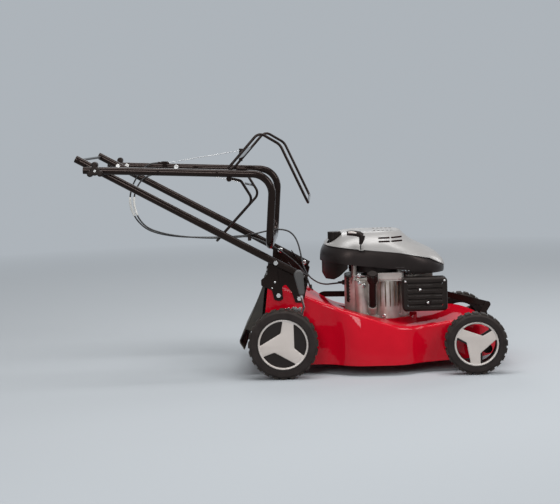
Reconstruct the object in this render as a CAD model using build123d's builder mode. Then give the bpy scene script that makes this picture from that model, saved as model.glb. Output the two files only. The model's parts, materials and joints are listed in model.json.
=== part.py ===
from build123d import *
import os
from math import atan2, cos, degrees, pi, radians, sin, tan

os.makedirs("parts", exist_ok=True)

# Self-propelled rotary mower with its upper handle folded forward for storage.
# Millimetres. +X points forward, +Y to the mower's left, +Z up, and the ground is Z = 0.
# Places are given from the rear axle, and each piece is written from the middle of the stored length.

# Wheels
REAR_WHEEL_D = 205.0
FRONT_WHEEL_D = 180.0
WHEELBASE = 559.0
WHEEL_W = 46.0
WHEEL_OUTER_Y = 262.0
AXLE_R = 6.0
RUNNING = 0.05
CLEAR = 0.3
LUG_COUNT = 24
LUG_H = 3.5
LUG_W = 15.0

# Height adjustment: both axles swing on cranks joined by a link
CRANK = 45.0
CRANK_DEG = 32.0
ARM_Y = 196.0
ARM_T = 5.0
LINK_ARM = 90.0
LINK_ARM_DEG = 58.0
LINK_T = 3.0
LINK_W = 18.0
PIN_R = 4.0

# Final drive: a pinion turns inside a toothed ring in each rear wheel
GEAR_MODULE = 2.5
PINION_TEETH = 12
RING_TEETH = PINION_TEETH + round(2 * CRANK / GEAR_MODULE)
GEAR_W = 12.0

# Deck
DECK_SHEET = 2.0
DECK_END_HALF = 188.0
DECK_MID_HALF = 240.0
DECK_FRONT_X = 640.0
DECK_CORNER_R = 55.0
DECK_BULGE_R = 115.0
DECK_SHOULDER_R = 9.0
SKIRT_Z = 30.0
CHAMBER_REAR_X = 50.0
TUNNEL_FLOOR_Z = 140.0
SEAT_Z = 150.0
SEAT_R = 120.0

# Engine
ENGINE_X = 285.0
CRANKSHAFT_R = 12.5
FLANGE_T = 8.0
FLANGE_R = 98.0
BOLT_R = 4.0
COWL_WALL = 2.5
COWL_STEP = 2.0

# Cutting
BLADE_L = 450.0
BLADE_W = 50.0
BLADE_T = 3.5
BLADE_Z = 42.0
BELT_Z = 119.0
BELT_W = 10.0
BELT_T = 7.0
ENGINE_PULLEY_R = 22.0
GEARBOX_PULLEY_R = 28.0
GEARBOX_X = 26.0
GEARBOX_Y = 45.0

# Handle
TUBE_R = 11.0
TUBE_WALL = 1.5
BRACKET_T = 3.2
LOWER_DEG = 29.2
LOWER_L = 672.0
BRACKET_BOLT = (60.0, 295.5)
BOLT_PITCH = 86.0
TAIL_L = 72.0
UPPER_DEG = 3.05
UPPER_L = 513.0
UPPER_DROP = 209.0
UPPER_BEND_R = 58.0
GRIP_BEND_R = 48.0
BAIL_R = 4.0
BRAKE_BAIL_HALF = 205.0
DRIVE_BAIL_HALF = 182.0
CABLE_R = 2.5
WIRE_R = 1.0

# Places worked out from the sizes
REAR_R = REAR_WHEEL_D / 2
FRONT_R = FRONT_WHEEL_D / 2
WHEEL_INNER_Y = WHEEL_OUTER_Y - WHEEL_W
CRANK_X = CRANK * cos(radians(CRANK_DEG))
CRANK_Z = CRANK * sin(radians(CRANK_DEG))
REAR_PIVOT = (CRANK_X, REAR_R - CRANK_Z)
FRONT_PIVOT = (WHEELBASE + CRANK_X, FRONT_R - CRANK_Z)
BRACKET_Y = DECK_END_HALF
LOWER_Y = BRACKET_Y + BRACKET_T + TUBE_R
UPPER_Y = LOWER_Y + 2 * TUBE_R + 1.0


def lower_point(along):
    """A point on the lower handle's line, measured up from the front bracket bolt."""
    turn = radians(LOWER_DEG)
    return (BRACKET_BOLT[0] - along * cos(turn), BRACKET_BOLT[1] + along * sin(turn))


FOLD = lower_point(LOWER_L)


def upper_point(along, above):
    """A point beside the folded upper handle, measured forward and up from the fold bolt."""
    turn = radians(UPPER_DEG)
    x = FOLD[0] + along * cos(turn) + above * sin(turn)
    return (x, FOLD[1] - along * sin(turn) + above * cos(turn))


TAIL_END = lower_point(LOWER_L + TAIL_L)
STORED_MIDDLE = (WHEELBASE + FRONT_R + TAIL_END[0] - TUBE_R / 2) / 2


def write(piece, name):
    """Labels a finished piece, sets it out from the middle of the stored length and saves it."""
    placed = Pos(-STORED_MIDDLE, 0, 0) * piece.part
    placed.label = name
    export_step(placed, f"parts/{name}.step")


def side_plane(y, left=False):
    """A plane on the right side facing outward, or its twin on the left."""
    if left:
        return Plane(origin=(0, y, 0), x_dir=(-1, 0, 0), z_dir=(0, 1, 0))
    return Plane.XZ.offset(y)


def rod(points, radius, bends, wall=0.0):
    """A round bar or tube bent along corner points; each corner has its own bend radius."""
    with BuildPart() as bar:
        with BuildLine():
            route = FilletPolyline(*points, radius=bends) if bends else Line(*points)
        with BuildSketch(Plane(origin=route @ 0, z_dir=route % 0)):
            Circle(radius)
            if wall:
                Circle(radius - wall, mode=Mode.SUBTRACT)
        sweep()
    return bar.part


def twin(piece):
    """The left-hand mirror image of a right-hand piece."""
    with BuildPart() as other:
        mirror(piece.part, about=Plane.XZ)
    return other


# Deck shell: a pressed steel bowl, higher on the right where the cuttings climb to the rear tunnel
DECK_RIGHT_TOP = [(-110, 288), (60, 238), (150, 207), (270, 163), (370, 136.5)]
DECK_LEFT_TOP = [(-110, 284), (60, 226), (150, 163), (270, 147), (370, 143)]
DECK_NOSE_TOP = [(460, 143), (515, 150), (575, 138), (DECK_FRONT_X + 15, 92)]
REAR_MOUTH = [(-38.0, 300.0), (-63.0, 100.0)]
LOFT_HALF = DECK_MID_HALF + 10


def deck_form(inset):
    """The deck's outer form, or with an inset the form of its hollow, which is open below."""
    half = DECK_END_HALF
    side = [(-140, half), (138, half), (205, DECK_MID_HALF), (352, DECK_MID_HALF), (420, half)]
    nose = [(DECK_FRONT_X - 62, half), (DECK_FRONT_X, half - 75)]
    outline = side + nose
    bends = [DECK_CORNER_R] + 4 * [DECK_BULGE_R] + 2 * [DECK_CORNER_R]
    bottom = [(DECK_FRONT_X + 15, SKIRT_Z + 14), (430, SKIRT_Z), (CHAMBER_REAR_X, SKIRT_Z)]
    if inset:
        bottom = [(x + inset * (x == CHAMBER_REAR_X), -SKIRT_Z) for x, z in bottom]
    floor = TUNNEL_FLOOR_Z + inset
    with BuildPart() as form:
        with BuildSketch():
            with BuildLine():
                both = outline + [(x, -y) for x, y in reversed(outline)]
                FilletPolyline(*both, radius=bends + bends[::-1], close=True)
            make_face()
            if inset:
                offset(amount=-inset, mode=Mode.REPLACE)
        extrude(amount=400, both=True)
        for y, side_top in ((LOFT_HALF, DECK_RIGHT_TOP), (-LOFT_HALF, DECK_LEFT_TOP)):
            with BuildSketch(Plane.XZ.offset(y)):
                with BuildLine():
                    top = Spline(*[(x, z - inset) for x, z in side_top + DECK_NOSE_TOP])
                    rear = [(bottom[-1][0], floor), (side_top[0][0], floor)]
                    Polyline(top @ 1, *bottom, *rear, top @ 0)
                make_face()
        loft(ruled=True, mode=Mode.INTERSECT)
        crown = form.faces().filter_by(lambda face: face.normal_at().Z > 0.5).sort_by(Axis.Z)[-1]
        rim = crown.edges().filter_by(lambda edge: edge.center().X > -100)
        if inset:
            chamfer(rim, DECK_SHOULDER_R / 2)
        else:
            fillet(rim, DECK_SHOULDER_R)
        with BuildSketch(Plane.XY.offset(SEAT_Z - inset)):
            with Locations((ENGINE_X, 0)):
                Circle(SEAT_R + inset)
        extrude(amount=200, mode=Mode.SUBTRACT)
        with BuildSketch(Plane.XY.offset(SEAT_Z - inset)):
            with Locations((ENGINE_X, 0)):
                Circle(SEAT_R - inset)
        extrude(amount=-40)
    return form.part


ENGINE_BOLT_R = 84.0
CRANK_HOLE_R = 30.0
FOOT_BOLTS = [(-10.5, 239.0), (50.0, 228.0)]
GROMMET = (80.0, 150.0)
GROMMET_HOLE = 7.0
BELT_SLOT = (130.0, 26.0)

deck_outside = deck_form(0)
deck_hollow = deck_form(DECK_SHEET)
with BuildPart() as deck_shell:
    add(deck_outside)
    add(deck_hollow, mode=Mode.SUBTRACT)
    with BuildSketch(Plane.XZ):
        Polygon(*REAR_MOUTH, (-200, 100), (-200, 300), align=None)
        with Locations(FRONT_PIVOT):
            Circle(AXLE_R + RUNNING)
        with Locations(*FOOT_BOLTS):
            Circle(BOLT_R + CLEAR)
    extrude(amount=LOFT_HALF, both=True, mode=Mode.SUBTRACT)
    with BuildSketch(Plane.XY.offset(SEAT_Z)):
        with Locations((ENGINE_X, 0)):
            Circle(CRANK_HOLE_R)
            with PolarLocations(ENGINE_BOLT_R, 3):
                Circle(BOLT_R + CLEAR)
    extrude(amount=-2 * DECK_SHEET, mode=Mode.SUBTRACT)
    with BuildSketch(Plane.YZ.offset(CHAMBER_REAR_X - 1)):
        with Locations((GEARBOX_Y / 2, BELT_Z)):
            Rectangle(*BELT_SLOT)
    extrude(amount=DECK_SHEET + 2, mode=Mode.SUBTRACT)
    with BuildSketch(Plane.XY.offset(TUNNEL_FLOOR_Z + 50)):
        with Locations(GROMMET):
            Rectangle(GROMMET_HOLE, GROMMET_HOLE)
    extrude(amount=100, mode=Mode.SUBTRACT)
write(deck_shell, "deck_shell")

# Handle brackets stand on the deck's rear corners and carry the flap's hinge rod
HINGE = (-52.0, 277.0)
HINGE_R = 4.0
BRACKET_FRONT = [(78, 280), (70, 250), (62, 216), (38, 216), (28, 248), (10, 272)]
BRACKET_FOOT = [(0, 262), (2, 228), (-8, 222), (-24, 226), (-30, 255)]
BRACKET_LUG = [(HINGE[0] - 9, HINGE[1] - 8), (HINGE[0] - 9, HINGE[1] + 9), (-42, 302)]
TUBE_BOLTS = [lower_point(0), lower_point(BOLT_PITCH)]

with BuildPart() as handle_bracket_right:
    with BuildSketch(side_plane(BRACKET_Y)):
        with BuildLine():
            top = [lower_point(BOLT_PITCH + 26), lower_point(-12)]
            FilletPolyline(*top, *BRACKET_FRONT, *BRACKET_FOOT, *BRACKET_LUG, radius=5, close=True)
        make_face()
        with Locations(*FOOT_BOLTS, *TUBE_BOLTS):
            Circle(BOLT_R + CLEAR, mode=Mode.SUBTRACT)
        with Locations(HINGE):
            Circle(HINGE_R, mode=Mode.SUBTRACT)
    extrude(amount=BRACKET_T)
write(handle_bracket_right, "handle_bracket_right")
write(twin(handle_bracket_right), "handle_bracket_left")

# Rear flap hangs on the hinge rod behind the tunnel mouth
FLAP_T = 3.0
FLAP_HALF = BRACKET_Y - 4
FLAP_LINE = [HINGE, (-78, 212), (-98, 168), (-131, 104), (-117, 80)]
BARREL_R = 7.5

with BuildPart() as flap_hinge_rod:
    with BuildSketch(side_plane(-BRACKET_Y - BRACKET_T)):
        with Locations(HINGE):
            Circle(HINGE_R)
    extrude(amount=2 * (BRACKET_Y + BRACKET_T))
write(flap_hinge_rod, "flap_hinge_rod")

with BuildPart() as rear_flap:
    with BuildSketch(side_plane(-FLAP_HALF)):
        with BuildLine() as flap_line:
            FilletPolyline(*FLAP_LINE, radius=12)
        trace(line_width=FLAP_T)
        with Locations(HINGE):
            Circle(BARREL_R)
            Circle(HINGE_R + RUNNING, mode=Mode.SUBTRACT)
    extrude(amount=2 * FLAP_HALF)
    with BuildSketch(Plane.YZ):
        with GridLocations(2 * FLAP_HALF / 3, 1, 2, 1):
            with Locations((0, HINGE[1])):
                Rectangle(60, 4 * BARREL_R)
    extrude(amount=HINGE[0] - 2 * BARREL_R, mode=Mode.SUBTRACT)
write(rear_flap, "rear_flap")


def across(point, y):
    """A side-view point set at a distance y to the left of the middle."""
    return (point[0], y, point[1])


# Lower handle: two straight tubes on the brackets' outer faces, joined by a rod at their tails
CROSS_ROD = lower_point(LOWER_L + TAIL_L - 10)

lower_line = [across(lower_point(-16), -LOWER_Y), across(TAIL_END, -LOWER_Y)]
lower_bar = rod(lower_line, TUBE_R, None, TUBE_WALL)
with BuildPart() as lower_tube_right:
    add(lower_bar)
    with BuildSketch(Plane.XZ.offset(LOWER_Y)):
        with Locations(*TUBE_BOLTS, FOLD, CROSS_ROD):
            Circle(BOLT_R + CLEAR)
    extrude(amount=TUBE_R + 1, both=True, mode=Mode.SUBTRACT)
write(lower_tube_right, "lower_tube_right")
write(twin(lower_tube_right), "lower_tube_left")

with BuildPart() as handle_cross_rod:
    with BuildSketch(side_plane(-LOWER_Y - TUBE_R)):
        with Locations(CROSS_ROD):
            Circle(BOLT_R)
    extrude(amount=2 * (LOWER_Y + TUBE_R))
write(handle_cross_rod, "handle_cross_rod")

# Hexagon-headed bolts hold the brackets, the lower tubes and the fold
HEAD_R = 7.0
HEAD_T = 5.0
KNOB_T = 20.0


def bolts(places, head_y, length, inward):
    """Right and left bolts whose heads sit at head_y and whose shanks run inward or outward."""
    step = -1 if inward else 1
    with BuildPart() as pair:
        for left in (False, True):
            seat = side_plane(head_y, left)
            centres = [(-x if left else x, z) for x, z in places]
            with BuildSketch(seat):
                with Locations(*centres):
                    Circle(BOLT_R)
            extrude(amount=step * length)
            with BuildSketch(seat):
                with Locations(*centres):
                    RegularPolygon(HEAD_R, 6)
            extrude(amount=-step * HEAD_T)
    return pair.part


foot_bolts = bolts(FOOT_BOLTS, BRACKET_Y + BRACKET_T, BRACKET_T + DECK_SHEET + 8, True)
tube_bolts = bolts(TUBE_BOLTS, LOWER_Y + TUBE_R, 2 * TUBE_R + BRACKET_T + 6, True)
fold_bolts = bolts([FOLD], LOWER_Y - TUBE_R, UPPER_Y - LOWER_Y + 2 * TUBE_R + KNOB_T - 4, False)
with BuildPart() as frame_bolts:
    add([foot_bolts, tube_bolts, fold_bolts])
write(frame_bolts, "frame_bolts")

# Upper handle: one tube bent into a U, with its grip end turned down in the folded pose
UPPER_TAIL = upper_point(-38, 0)
UPPER_CORNER = upper_point(UPPER_L, 0)
GRIP_BAR = upper_point(UPPER_L - 6, -UPPER_DROP)
BRAKE_PIVOT = upper_point(370, 0)
DRIVE_PIVOT = upper_point(386, -16)
PIVOT_LUG_R = 8.0

upper_right = [across(p, -UPPER_Y) for p in (UPPER_TAIL, UPPER_CORNER, GRIP_BAR)]
upper_left = [across(p, UPPER_Y) for p in (GRIP_BAR, UPPER_CORNER, UPPER_TAIL)]
upper_bends = [UPPER_BEND_R, GRIP_BEND_R, GRIP_BEND_R, UPPER_BEND_R]
upper_bar = rod(upper_right + upper_left, TUBE_R, upper_bends, TUBE_WALL)
with BuildPart() as upper_handle:
    add(upper_bar)
    for left in (False, True):
        with BuildSketch(side_plane(UPPER_Y - 7, left)):
            turn = -1 if left else 1
            with Locations((turn * DRIVE_PIVOT[0], DRIVE_PIVOT[1])):
                Circle(PIVOT_LUG_R)
        extrude(amount=7)
    with BuildSketch(Plane.XZ):
        with Locations(FOLD):
            Circle(BOLT_R + CLEAR)
    extrude(amount=UPPER_Y + TUBE_R, both=True, mode=Mode.SUBTRACT)
    with BuildSketch(Plane.XZ):
        with Locations(BRAKE_PIVOT, DRIVE_PIVOT):
            Circle(BAIL_R + RUNNING)
    extrude(amount=UPPER_Y, both=True, mode=Mode.SUBTRACT)
write(upper_handle, "upper_handle")

# Three-lobed knobs clamp the fold
KNOB_LOBE_R = 9.0
KNOB_REACH = 17.0


def fold_knob(left):
    """A three-lobed clamping knob on one end of the fold bolts."""
    at = (-FOLD[0] if left else FOLD[0], FOLD[1])
    with BuildPart() as knob:
        with BuildSketch(side_plane(UPPER_Y + TUBE_R + CLEAR, left)):
            with Locations(at):
                Circle(KNOB_REACH - 3)
                with PolarLocations(KNOB_REACH, 3, start_angle=90):
                    Circle(KNOB_LOBE_R)
                Circle(BOLT_R + RUNNING, mode=Mode.SUBTRACT)
        extrude(amount=KNOB_T)
        fillet(knob.faces().sort_by(Axis.Y)[-1 if left else 0].outer_wire().edges(), 4)
    return knob


write(fold_knob(False), "fold_knob_right")
write(fold_knob(True), "fold_knob_left")


def bail(line, half, bends):
    """A bent wire bail: side-view points from its pivot to its bar, mirrored across the middle."""
    pin_y = UPPER_Y - 3
    right_side = [across(line[0], -pin_y)] + [across(p, -half) for p in line]
    left_side = [across(p, half) for p in reversed(line)] + [across(line[0], pin_y)]
    return rod(right_side + left_side, BAIL_R, bends + bends[::-1])


# Brake bail with a stiffening plate between its legs and a nipple for the cable
BRAKE_LINE = [BRAKE_PIVOT, upper_point(469, 120), upper_point(531, 86), upper_point(616, -81)]
BRAKE_NIPPLE = upper_point(393, 58)
LEG_DEG = degrees(atan2(120, 469 - 370)) - UPPER_DEG
NIPPLE_R = 3.5
WIRE_Y = 196.0

brake_wire = bail(BRAKE_LINE, BRAKE_BAIL_HALF, [8, 22, 40, 22])
with BuildPart() as brake_bail:
    add(brake_wire)
    with BuildSketch(Plane.XZ):
        with Locations(upper_point(416, 56)):
            Rectangle(40, 3, rotation=LEG_DEG)
    extrude(amount=BRAKE_BAIL_HALF - BAIL_R + 1, both=True)
    with BuildSketch(side_plane(-BRAKE_BAIL_HALF + BAIL_R - 1)):
        with Locations(upper_point(393, 44)):
            Rectangle(12, 40, rotation=-UPPER_DEG)
    extrude(amount=3)
    with BuildSketch(side_plane(-BRAKE_BAIL_HALF + BAIL_R)):
        with Locations(BRAKE_NIPPLE):
            Circle(NIPPLE_R)
    extrude(amount=10)
write(brake_bail, "brake_bail")

DRIVE_LINE = [DRIVE_PIVOT, upper_point(418, -22), upper_point(455, -78), upper_point(350, -201)]
drive_wire = bail(DRIVE_LINE, DRIVE_BAIL_HALF, [12, 14, 26, 22])
with BuildPart() as drive_bail:
    add(drive_wire)
write(drive_bail, "drive_bail")

# Bowden cables run down the left side: the brake cable to the engine, the drive cable into the deck
ANCHOR_L = 12.0
BRAKE_ANCHOR = 143.0
BRAKE_ANCHOR_V = 13.0
DRIVE_ANCHOR = 242.0
DRIVE_ANCHOR_V = -17.0
DRIVE_ANCHOR_Y = 203.0
CASE_REAR_X = 185.0
CABLE_END = (36.0, 254.0)
CLIP = (-112.0, 181.5, 383.2)
CLIP_SIZE = (10.0, 26.0, 22.0)
CLIP_HOLES = [(186.0, 389.4), (177.0, 383.6)]
CLIP_HOLE_R = CABLE_R + 1.4

brake_route = [
    across(upper_point(BRAKE_ANCHOR, BRAKE_ANCHOR_V), WIRE_Y),
    across(upper_point(BRAKE_ANCHOR - 38, BRAKE_ANCHOR_V), WIRE_Y),
    (-447, 192, 613), (-470, 186.5, 583), (-487, 184, 548), (-494, 184, 505), (-481, 185, 459),
    (-449, 186, 421), (-405, 186, 402), (-345, 186, 391), (-285, 186, 387), (-225, 186, 385),
    (-165, 186, 386), (-112, 186, 388.5), (-66, 185, 399), (-26, 184, 406), (8, 183, 402),
    (32, 181, 387), (48, 178, 364), (58, 170, 332), (64, 148, 298), (78, 105, 268), (105, 55, 252),
    (128, 8, 250),
    (CASE_REAR_X - 35, -CABLE_END[0], CABLE_END[1]), (CASE_REAR_X, -CABLE_END[0], CABLE_END[1]),
]
drive_route = [
    across(upper_point(DRIVE_ANCHOR, DRIVE_ANCHOR_V), DRIVE_ANCHOR_Y),
    across(upper_point(DRIVE_ANCHOR - 52, DRIVE_ANCHOR_V), DRIVE_ANCHOR_Y),
    across(upper_point(130, -20), 192),
    (-443, 180, 586), (-468, 176, 556), (-483, 175, 515), (-478, 175, 463), (-450, 176, 419),
    (-405, 177, 399), (-345, 177, 388), (-285, 177, 384), (-225, 177, 382), (-165, 177, 383),
    (-112, 177, 387), (-66, 176, 367), (-22, 175, 343), (18, 173, 318), (50, 167, 292),
    (71, 158, 266), (*GROMMET, 238), (*GROMMET, 208),
]


def cable(name, route):
    """A cable swept along its route, with each bend as large as its shorter run leaves room for."""
    places = [Vector(*point) for point in route]
    radii = []
    for before, at, after in zip(places, places[1:], places[2:]):
        half_turn = radians((at - before).get_angle(after - at)) / 2
        run = min((at - before).length, (after - at).length)
        radii.append(0.45 * run / tan(half_turn))
    piece = rod(route, CABLE_R, radii)
    print(name, "tightest bend", round(min(radii), 1), "length", round(piece.volume / CABLE_R**2 / pi))
    return piece


brake_line = cable("brake_cable", brake_route)
with BuildPart() as brake_cable:
    add(brake_line)
write(brake_cable, "brake_cable")

drive_line = cable("drive_cable", drive_route)
with BuildPart() as drive_cable:
    add(drive_line)
write(drive_cable, "drive_cable")

wire_start = Vector(*across(upper_point(BRAKE_ANCHOR + ANCHOR_L + 0.4, BRAKE_ANCHOR_V), WIRE_Y))
wire_end = Vector(*across(BRAKE_NIPPLE, WIRE_Y))
wire_end = wire_end - (wire_end - wire_start).normalized() * (NIPPLE_R + CLEAR)
bare_wire = rod([wire_start, wire_end], WIRE_R, None)
with BuildPart() as brake_inner_wire:
    add(bare_wire)
write(brake_inner_wire, "brake_inner_wire")

# Blocks saddled on the left tubes hold the cables
upper_saddle = rod(upper_left[1:], TUBE_R + RUNNING, None)
lower_saddle = rod([across(p, LOWER_Y) for p in (lower_point(60), lower_point(340))], TUBE_R + RUNNING, None)
with BuildPart() as cable_anchors:
    for along, above, y in (
        (BRAKE_ANCHOR, BRAKE_ANCHOR_V, WIRE_Y),
        (DRIVE_ANCHOR, DRIVE_ANCHOR_V, DRIVE_ANCHOR_Y),
    ):
        with BuildSketch(side_plane(-UPPER_Y)):
            with Locations(upper_point(along + ANCHOR_L / 2, above / 2)):
                Rectangle(ANCHOR_L, abs(above) + 10, rotation=-UPPER_DEG)
        extrude(amount=UPPER_Y - y + 2 * CABLE_R)
    add(upper_saddle, mode=Mode.SUBTRACT)
write(cable_anchors, "cable_anchors")

with BuildPart() as cable_clips:
    with Locations(CLIP):
        Box(*CLIP_SIZE)
    with BuildSketch(Plane.YZ.offset(CLIP[0])):
        with Locations(*CLIP_HOLES):
            Circle(CLIP_HOLE_R)
    extrude(amount=CLIP_SIZE[0], both=True, mode=Mode.SUBTRACT)
    add(lower_saddle, mode=Mode.SUBTRACT)
write(cable_clips, "cable_clips")

# Engine block: sump flange, crankcase, finned barrel and the posts that carry the blower housing
CASE_L = 190.0
CASE_W = 176.0
CASE_R = 50.0
CASE_TOP = 275.0
CASE_EDGE_R = 6.0
CASE_X = CASE_REAR_X + CASE_L / 2
BARREL_X = 360.0
BARREL_W = 110.0
BARREL_H = 86.0
HEAD_X = 400.0
HEAD_L = 52.0
HEAD_BASE = 30.0
BORE_Z = 230.0
FIN_T = 3.0
FIN_PITCH = 9.0
FIN_W = 124.0
FIN_H = 100.0
BOSS_AT = (236.0, -82.0)
BOSS_R = 21.0
BOSS_TOP = 264.0
TAPPET_AT = (315.0, -75.0)
TAPPET_R = 37.0
BREATHER_SIZE = (84.0, 50.0, 24.0)
OIL_DEG = 32.0
OIL_START = (267.0, -100.0, 188.0)
OIL_TUBE_R = 10.5
OIL_TUBE_L = 90.0
POST_R = 8.0
REAR_POSTS = (215.0, 80.0, 318.0)
FRONT_POSTS = (350.0, 80.0, 303.0)

oil_axis = Vector(0, -sin(radians(OIL_DEG)), cos(radians(OIL_DEG)))
oil_plane = Plane(origin=OIL_START, x_dir=(1, 0, 0), z_dir=oil_axis)

with BuildPart() as engine_block:
    with BuildSketch(Plane.XY.offset(SEAT_Z)):
        with Locations((ENGINE_X, 0)):
            Circle(FLANGE_R)
    extrude(amount=FLANGE_T)
    with BuildSketch(Plane.XY.offset(SEAT_Z)):
        with Locations((CASE_X, 0)):
            RectangleRounded(CASE_L, CASE_W, CASE_R)
    extrude(amount=CASE_TOP - SEAT_Z)
    fillet(engine_block.faces().sort_by(Axis.Z)[-1].edges(), CASE_EDGE_R)
    with BuildSketch(Plane.XY.offset(SEAT_Z)):
        with Locations(BOSS_AT):
            Circle(BOSS_R)
        with Locations(TAPPET_AT):
            Circle(TAPPET_R)
    extrude(amount=BOSS_TOP - SEAT_Z)
    with BuildSketch(Plane.XY.offset(BOSS_TOP - 2)):
        with Locations((TAPPET_AT[0] + 5, TAPPET_AT[1] - 10)):
            RectangleRounded(*BREATHER_SIZE[:2], CASE_EDGE_R)
    extrude(amount=BREATHER_SIZE[2])
    with BuildSketch(oil_plane):
        Circle(OIL_TUBE_R + 3)
    extrude(amount=-26)
    with BuildSketch(Plane.YZ.offset(BARREL_X)):
        with Locations((0, BORE_Z)):
            Rectangle(BARREL_W, BARREL_H)
    extrude(amount=HEAD_X - BARREL_X)
    fins = range(int((HEAD_X - BARREL_X - FIN_T) / FIN_PITCH))
    for step in fins:
        with BuildSketch(Plane.YZ.offset(HEAD_X - FIN_T - step * FIN_PITCH)):
            with Locations((0, BORE_Z)):
                RectangleRounded(FIN_W, FIN_H, 8)
        extrude(amount=FIN_T)
    for x, y, top in (REAR_POSTS, FRONT_POSTS):
        with BuildSketch(Plane.XY.offset(CASE_TOP - 10)):
            with Locations((x, y), (x, -y)):
                Circle(POST_R)
        extrude(amount=top - CASE_TOP + 10)
    with BuildSketch():
        with Locations((ENGINE_X, 0)):
            Circle(CRANKSHAFT_R + RUNNING)
    extrude(amount=CASE_TOP + 1, mode=Mode.SUBTRACT)
write(engine_block, "engine_block")

HEAD_FIN_T = 2.5
PLUG_Z = 232.0
PLUG_POCKET_R = 14.0
with BuildPart() as cylinder_head:
    with BuildSketch(Plane.YZ.offset(HEAD_X)):
        with Locations((0, BORE_Z)):
            RectangleRounded(FIN_W, FIN_H, 8)
    extrude(amount=HEAD_BASE)
    with BuildSketch(Plane.YZ.offset(HEAD_X)):
        with Locations((0, BORE_Z)):
            with GridLocations(12, 1, 10, 1):
                Rectangle(HEAD_FIN_T, FIN_H - 6)
    extrude(amount=HEAD_L)
    with BuildSketch(Plane.YZ.offset(HEAD_X + HEAD_BASE)):
        with Locations((0, PLUG_Z)):
            Circle(PLUG_POCKET_R)
    extrude(amount=HEAD_L, mode=Mode.SUBTRACT)
write(cylinder_head, "cylinder_head")

with BuildPart() as spark_plug:
    with BuildSketch(Plane.YZ.offset(HEAD_X + HEAD_BASE)):
        with Locations((0, PLUG_Z)):
            RegularPolygon(10.5, 6)
    extrude(amount=14)
    for radius, reach in ((8, 20), (6, 44), (3.5, 54)):
        with BuildSketch(Plane.YZ.offset(HEAD_X + HEAD_BASE)):
            with Locations((0, PLUG_Z)):
                Circle(radius)
        extrude(amount=reach)
write(spark_plug, "spark_plug")

# Engine cowl: one flowing form, parted into a top cover and a darker blower housing below it
COWL_SECTIONS = [
    (284, 112, 488, 132), (322, 111, 481, 138), (354, 114, 436, 136),
    (380, 132, 388, 122), (400, 158, 366, 100), (410, 190, 350, 75),
]
COWL_ROUND = 0.72
COVER_LINE = [(60, 381), (351, 348), (440, 329), (476, 310), (512, 284)]
HOUSING_LINE = [(60, 333), (379, 295), (388, 284)]
COWL_HALF = 200.0
CAP_AT = (158.0, -60.0)
CAP_R = 20.0
TOP_VENT = (26.0, 6.5)
SIDE_VENT = (34.0, 4.5)
SIDE_VENT_AT = (325.0, 387.0)
SIDE_VENT_PITCH = (38.0, 10.0)
TOP_VENTS_AT = [(305.0, 46.0), (305.0, -46.0)]
ROPE_AT = (235.0, -150.0)
ROPE_R = 2.0
GUIDE_R = 9.0
GUIDE_Z = (346.0, 362.0)


def cowl_form(inset):
    """The cowl's outer form, or with an inset the form a wall's thickness further in."""
    with BuildPart() as form:
        for z, rear, front, half in COWL_SECTIONS:
            length = front - rear - 2 * inset
            width = 2 * (half - inset)
            with BuildSketch(Plane.XY.offset(z - inset)):
                with Locations(((front + rear) / 2, 0)):
                    RectangleRounded(length, width, COWL_ROUND * width / 2)
        loft()
    return form.part


cover_outside = cowl_form(0)
cover_inside = cowl_form(COWL_WALL)
with BuildPart() as top_cover:
    add(cover_outside)
    with BuildSketch(Plane.XY.offset(GUIDE_Z[0])):
        with Locations(ROPE_AT):
            Circle(GUIDE_R)
        with Locations((ROPE_AT[0], ROPE_AT[1] / 2)):
            Rectangle(2 * GUIDE_R, -ROPE_AT[1])
    extrude(amount=GUIDE_Z[1] - GUIDE_Z[0])
    add(cover_inside, mode=Mode.SUBTRACT)
    with BuildSketch(Plane.XZ):
        with BuildLine():
            Polyline(*COVER_LINE, (540, 284), (540, 500), (60, 500), close=True)
        make_face()
    extrude(amount=COWL_HALF, both=True, mode=Mode.INTERSECT)
    with BuildSketch(Plane.XY.offset(GUIDE_Z[0] - 1)):
        with Locations(ROPE_AT):
            Circle(ROPE_R + CLEAR)
        with Locations(CAP_AT):
            Circle(CAP_R + 3)
        with Locations(*TOP_VENTS_AT):
            with GridLocations(2 * TOP_VENT[1], 1, 5, 1):
                SlotOverall(*TOP_VENT, rotation=90)
    extrude(amount=100, mode=Mode.SUBTRACT)
    with BuildSketch(Plane.XZ):
        with Locations(SIDE_VENT_AT):
            with GridLocations(*SIDE_VENT_PITCH, 2, 2):
                SlotOverall(*SIDE_VENT)
    extrude(amount=COWL_HALF, both=True, mode=Mode.SUBTRACT)
write(top_cover, "top_cover")

AIR_GUIDE_R = 94.5
AIR_GUIDE_Z = (288.0, 321.0)

housing_outside = cowl_form(COWL_STEP)
housing_inside = cowl_form(COWL_STEP + COWL_WALL)
with BuildPart() as blower_housing:
    add(housing_outside)
    add(housing_inside, mode=Mode.SUBTRACT)
    with BuildSketch(Plane.XZ):
        with BuildLine():
            Polyline(*COVER_LINE, *reversed(HOUSING_LINE), close=True)
        make_face()
    extrude(amount=COWL_HALF, both=True, mode=Mode.INTERSECT)
    for x, y, top in (REAR_POSTS, FRONT_POSTS):
        for side in (-1, 1):
            with BuildSketch(Plane.XY.offset(top)):
                with Locations((x, side * (y + 24))):
                    Rectangle(24, 64)
            extrude(amount=COWL_WALL)
    with BuildSketch(Plane.XY.offset(AIR_GUIDE_Z[0])):
        with Locations((ENGINE_X, 0)):
            Circle(AIR_GUIDE_R)
            Circle(AIR_GUIDE_R - COWL_WALL, mode=Mode.SUBTRACT)
        with Locations((ENGINE_X - 2 * AIR_GUIDE_R, 0)):
            Rectangle(2.2 * AIR_GUIDE_R, 2 * AIR_GUIDE_R, mode=Mode.SUBTRACT)
    extrude(amount=AIR_GUIDE_Z[1] - AIR_GUIDE_Z[0])
write(blower_housing, "blower_housing")

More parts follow.
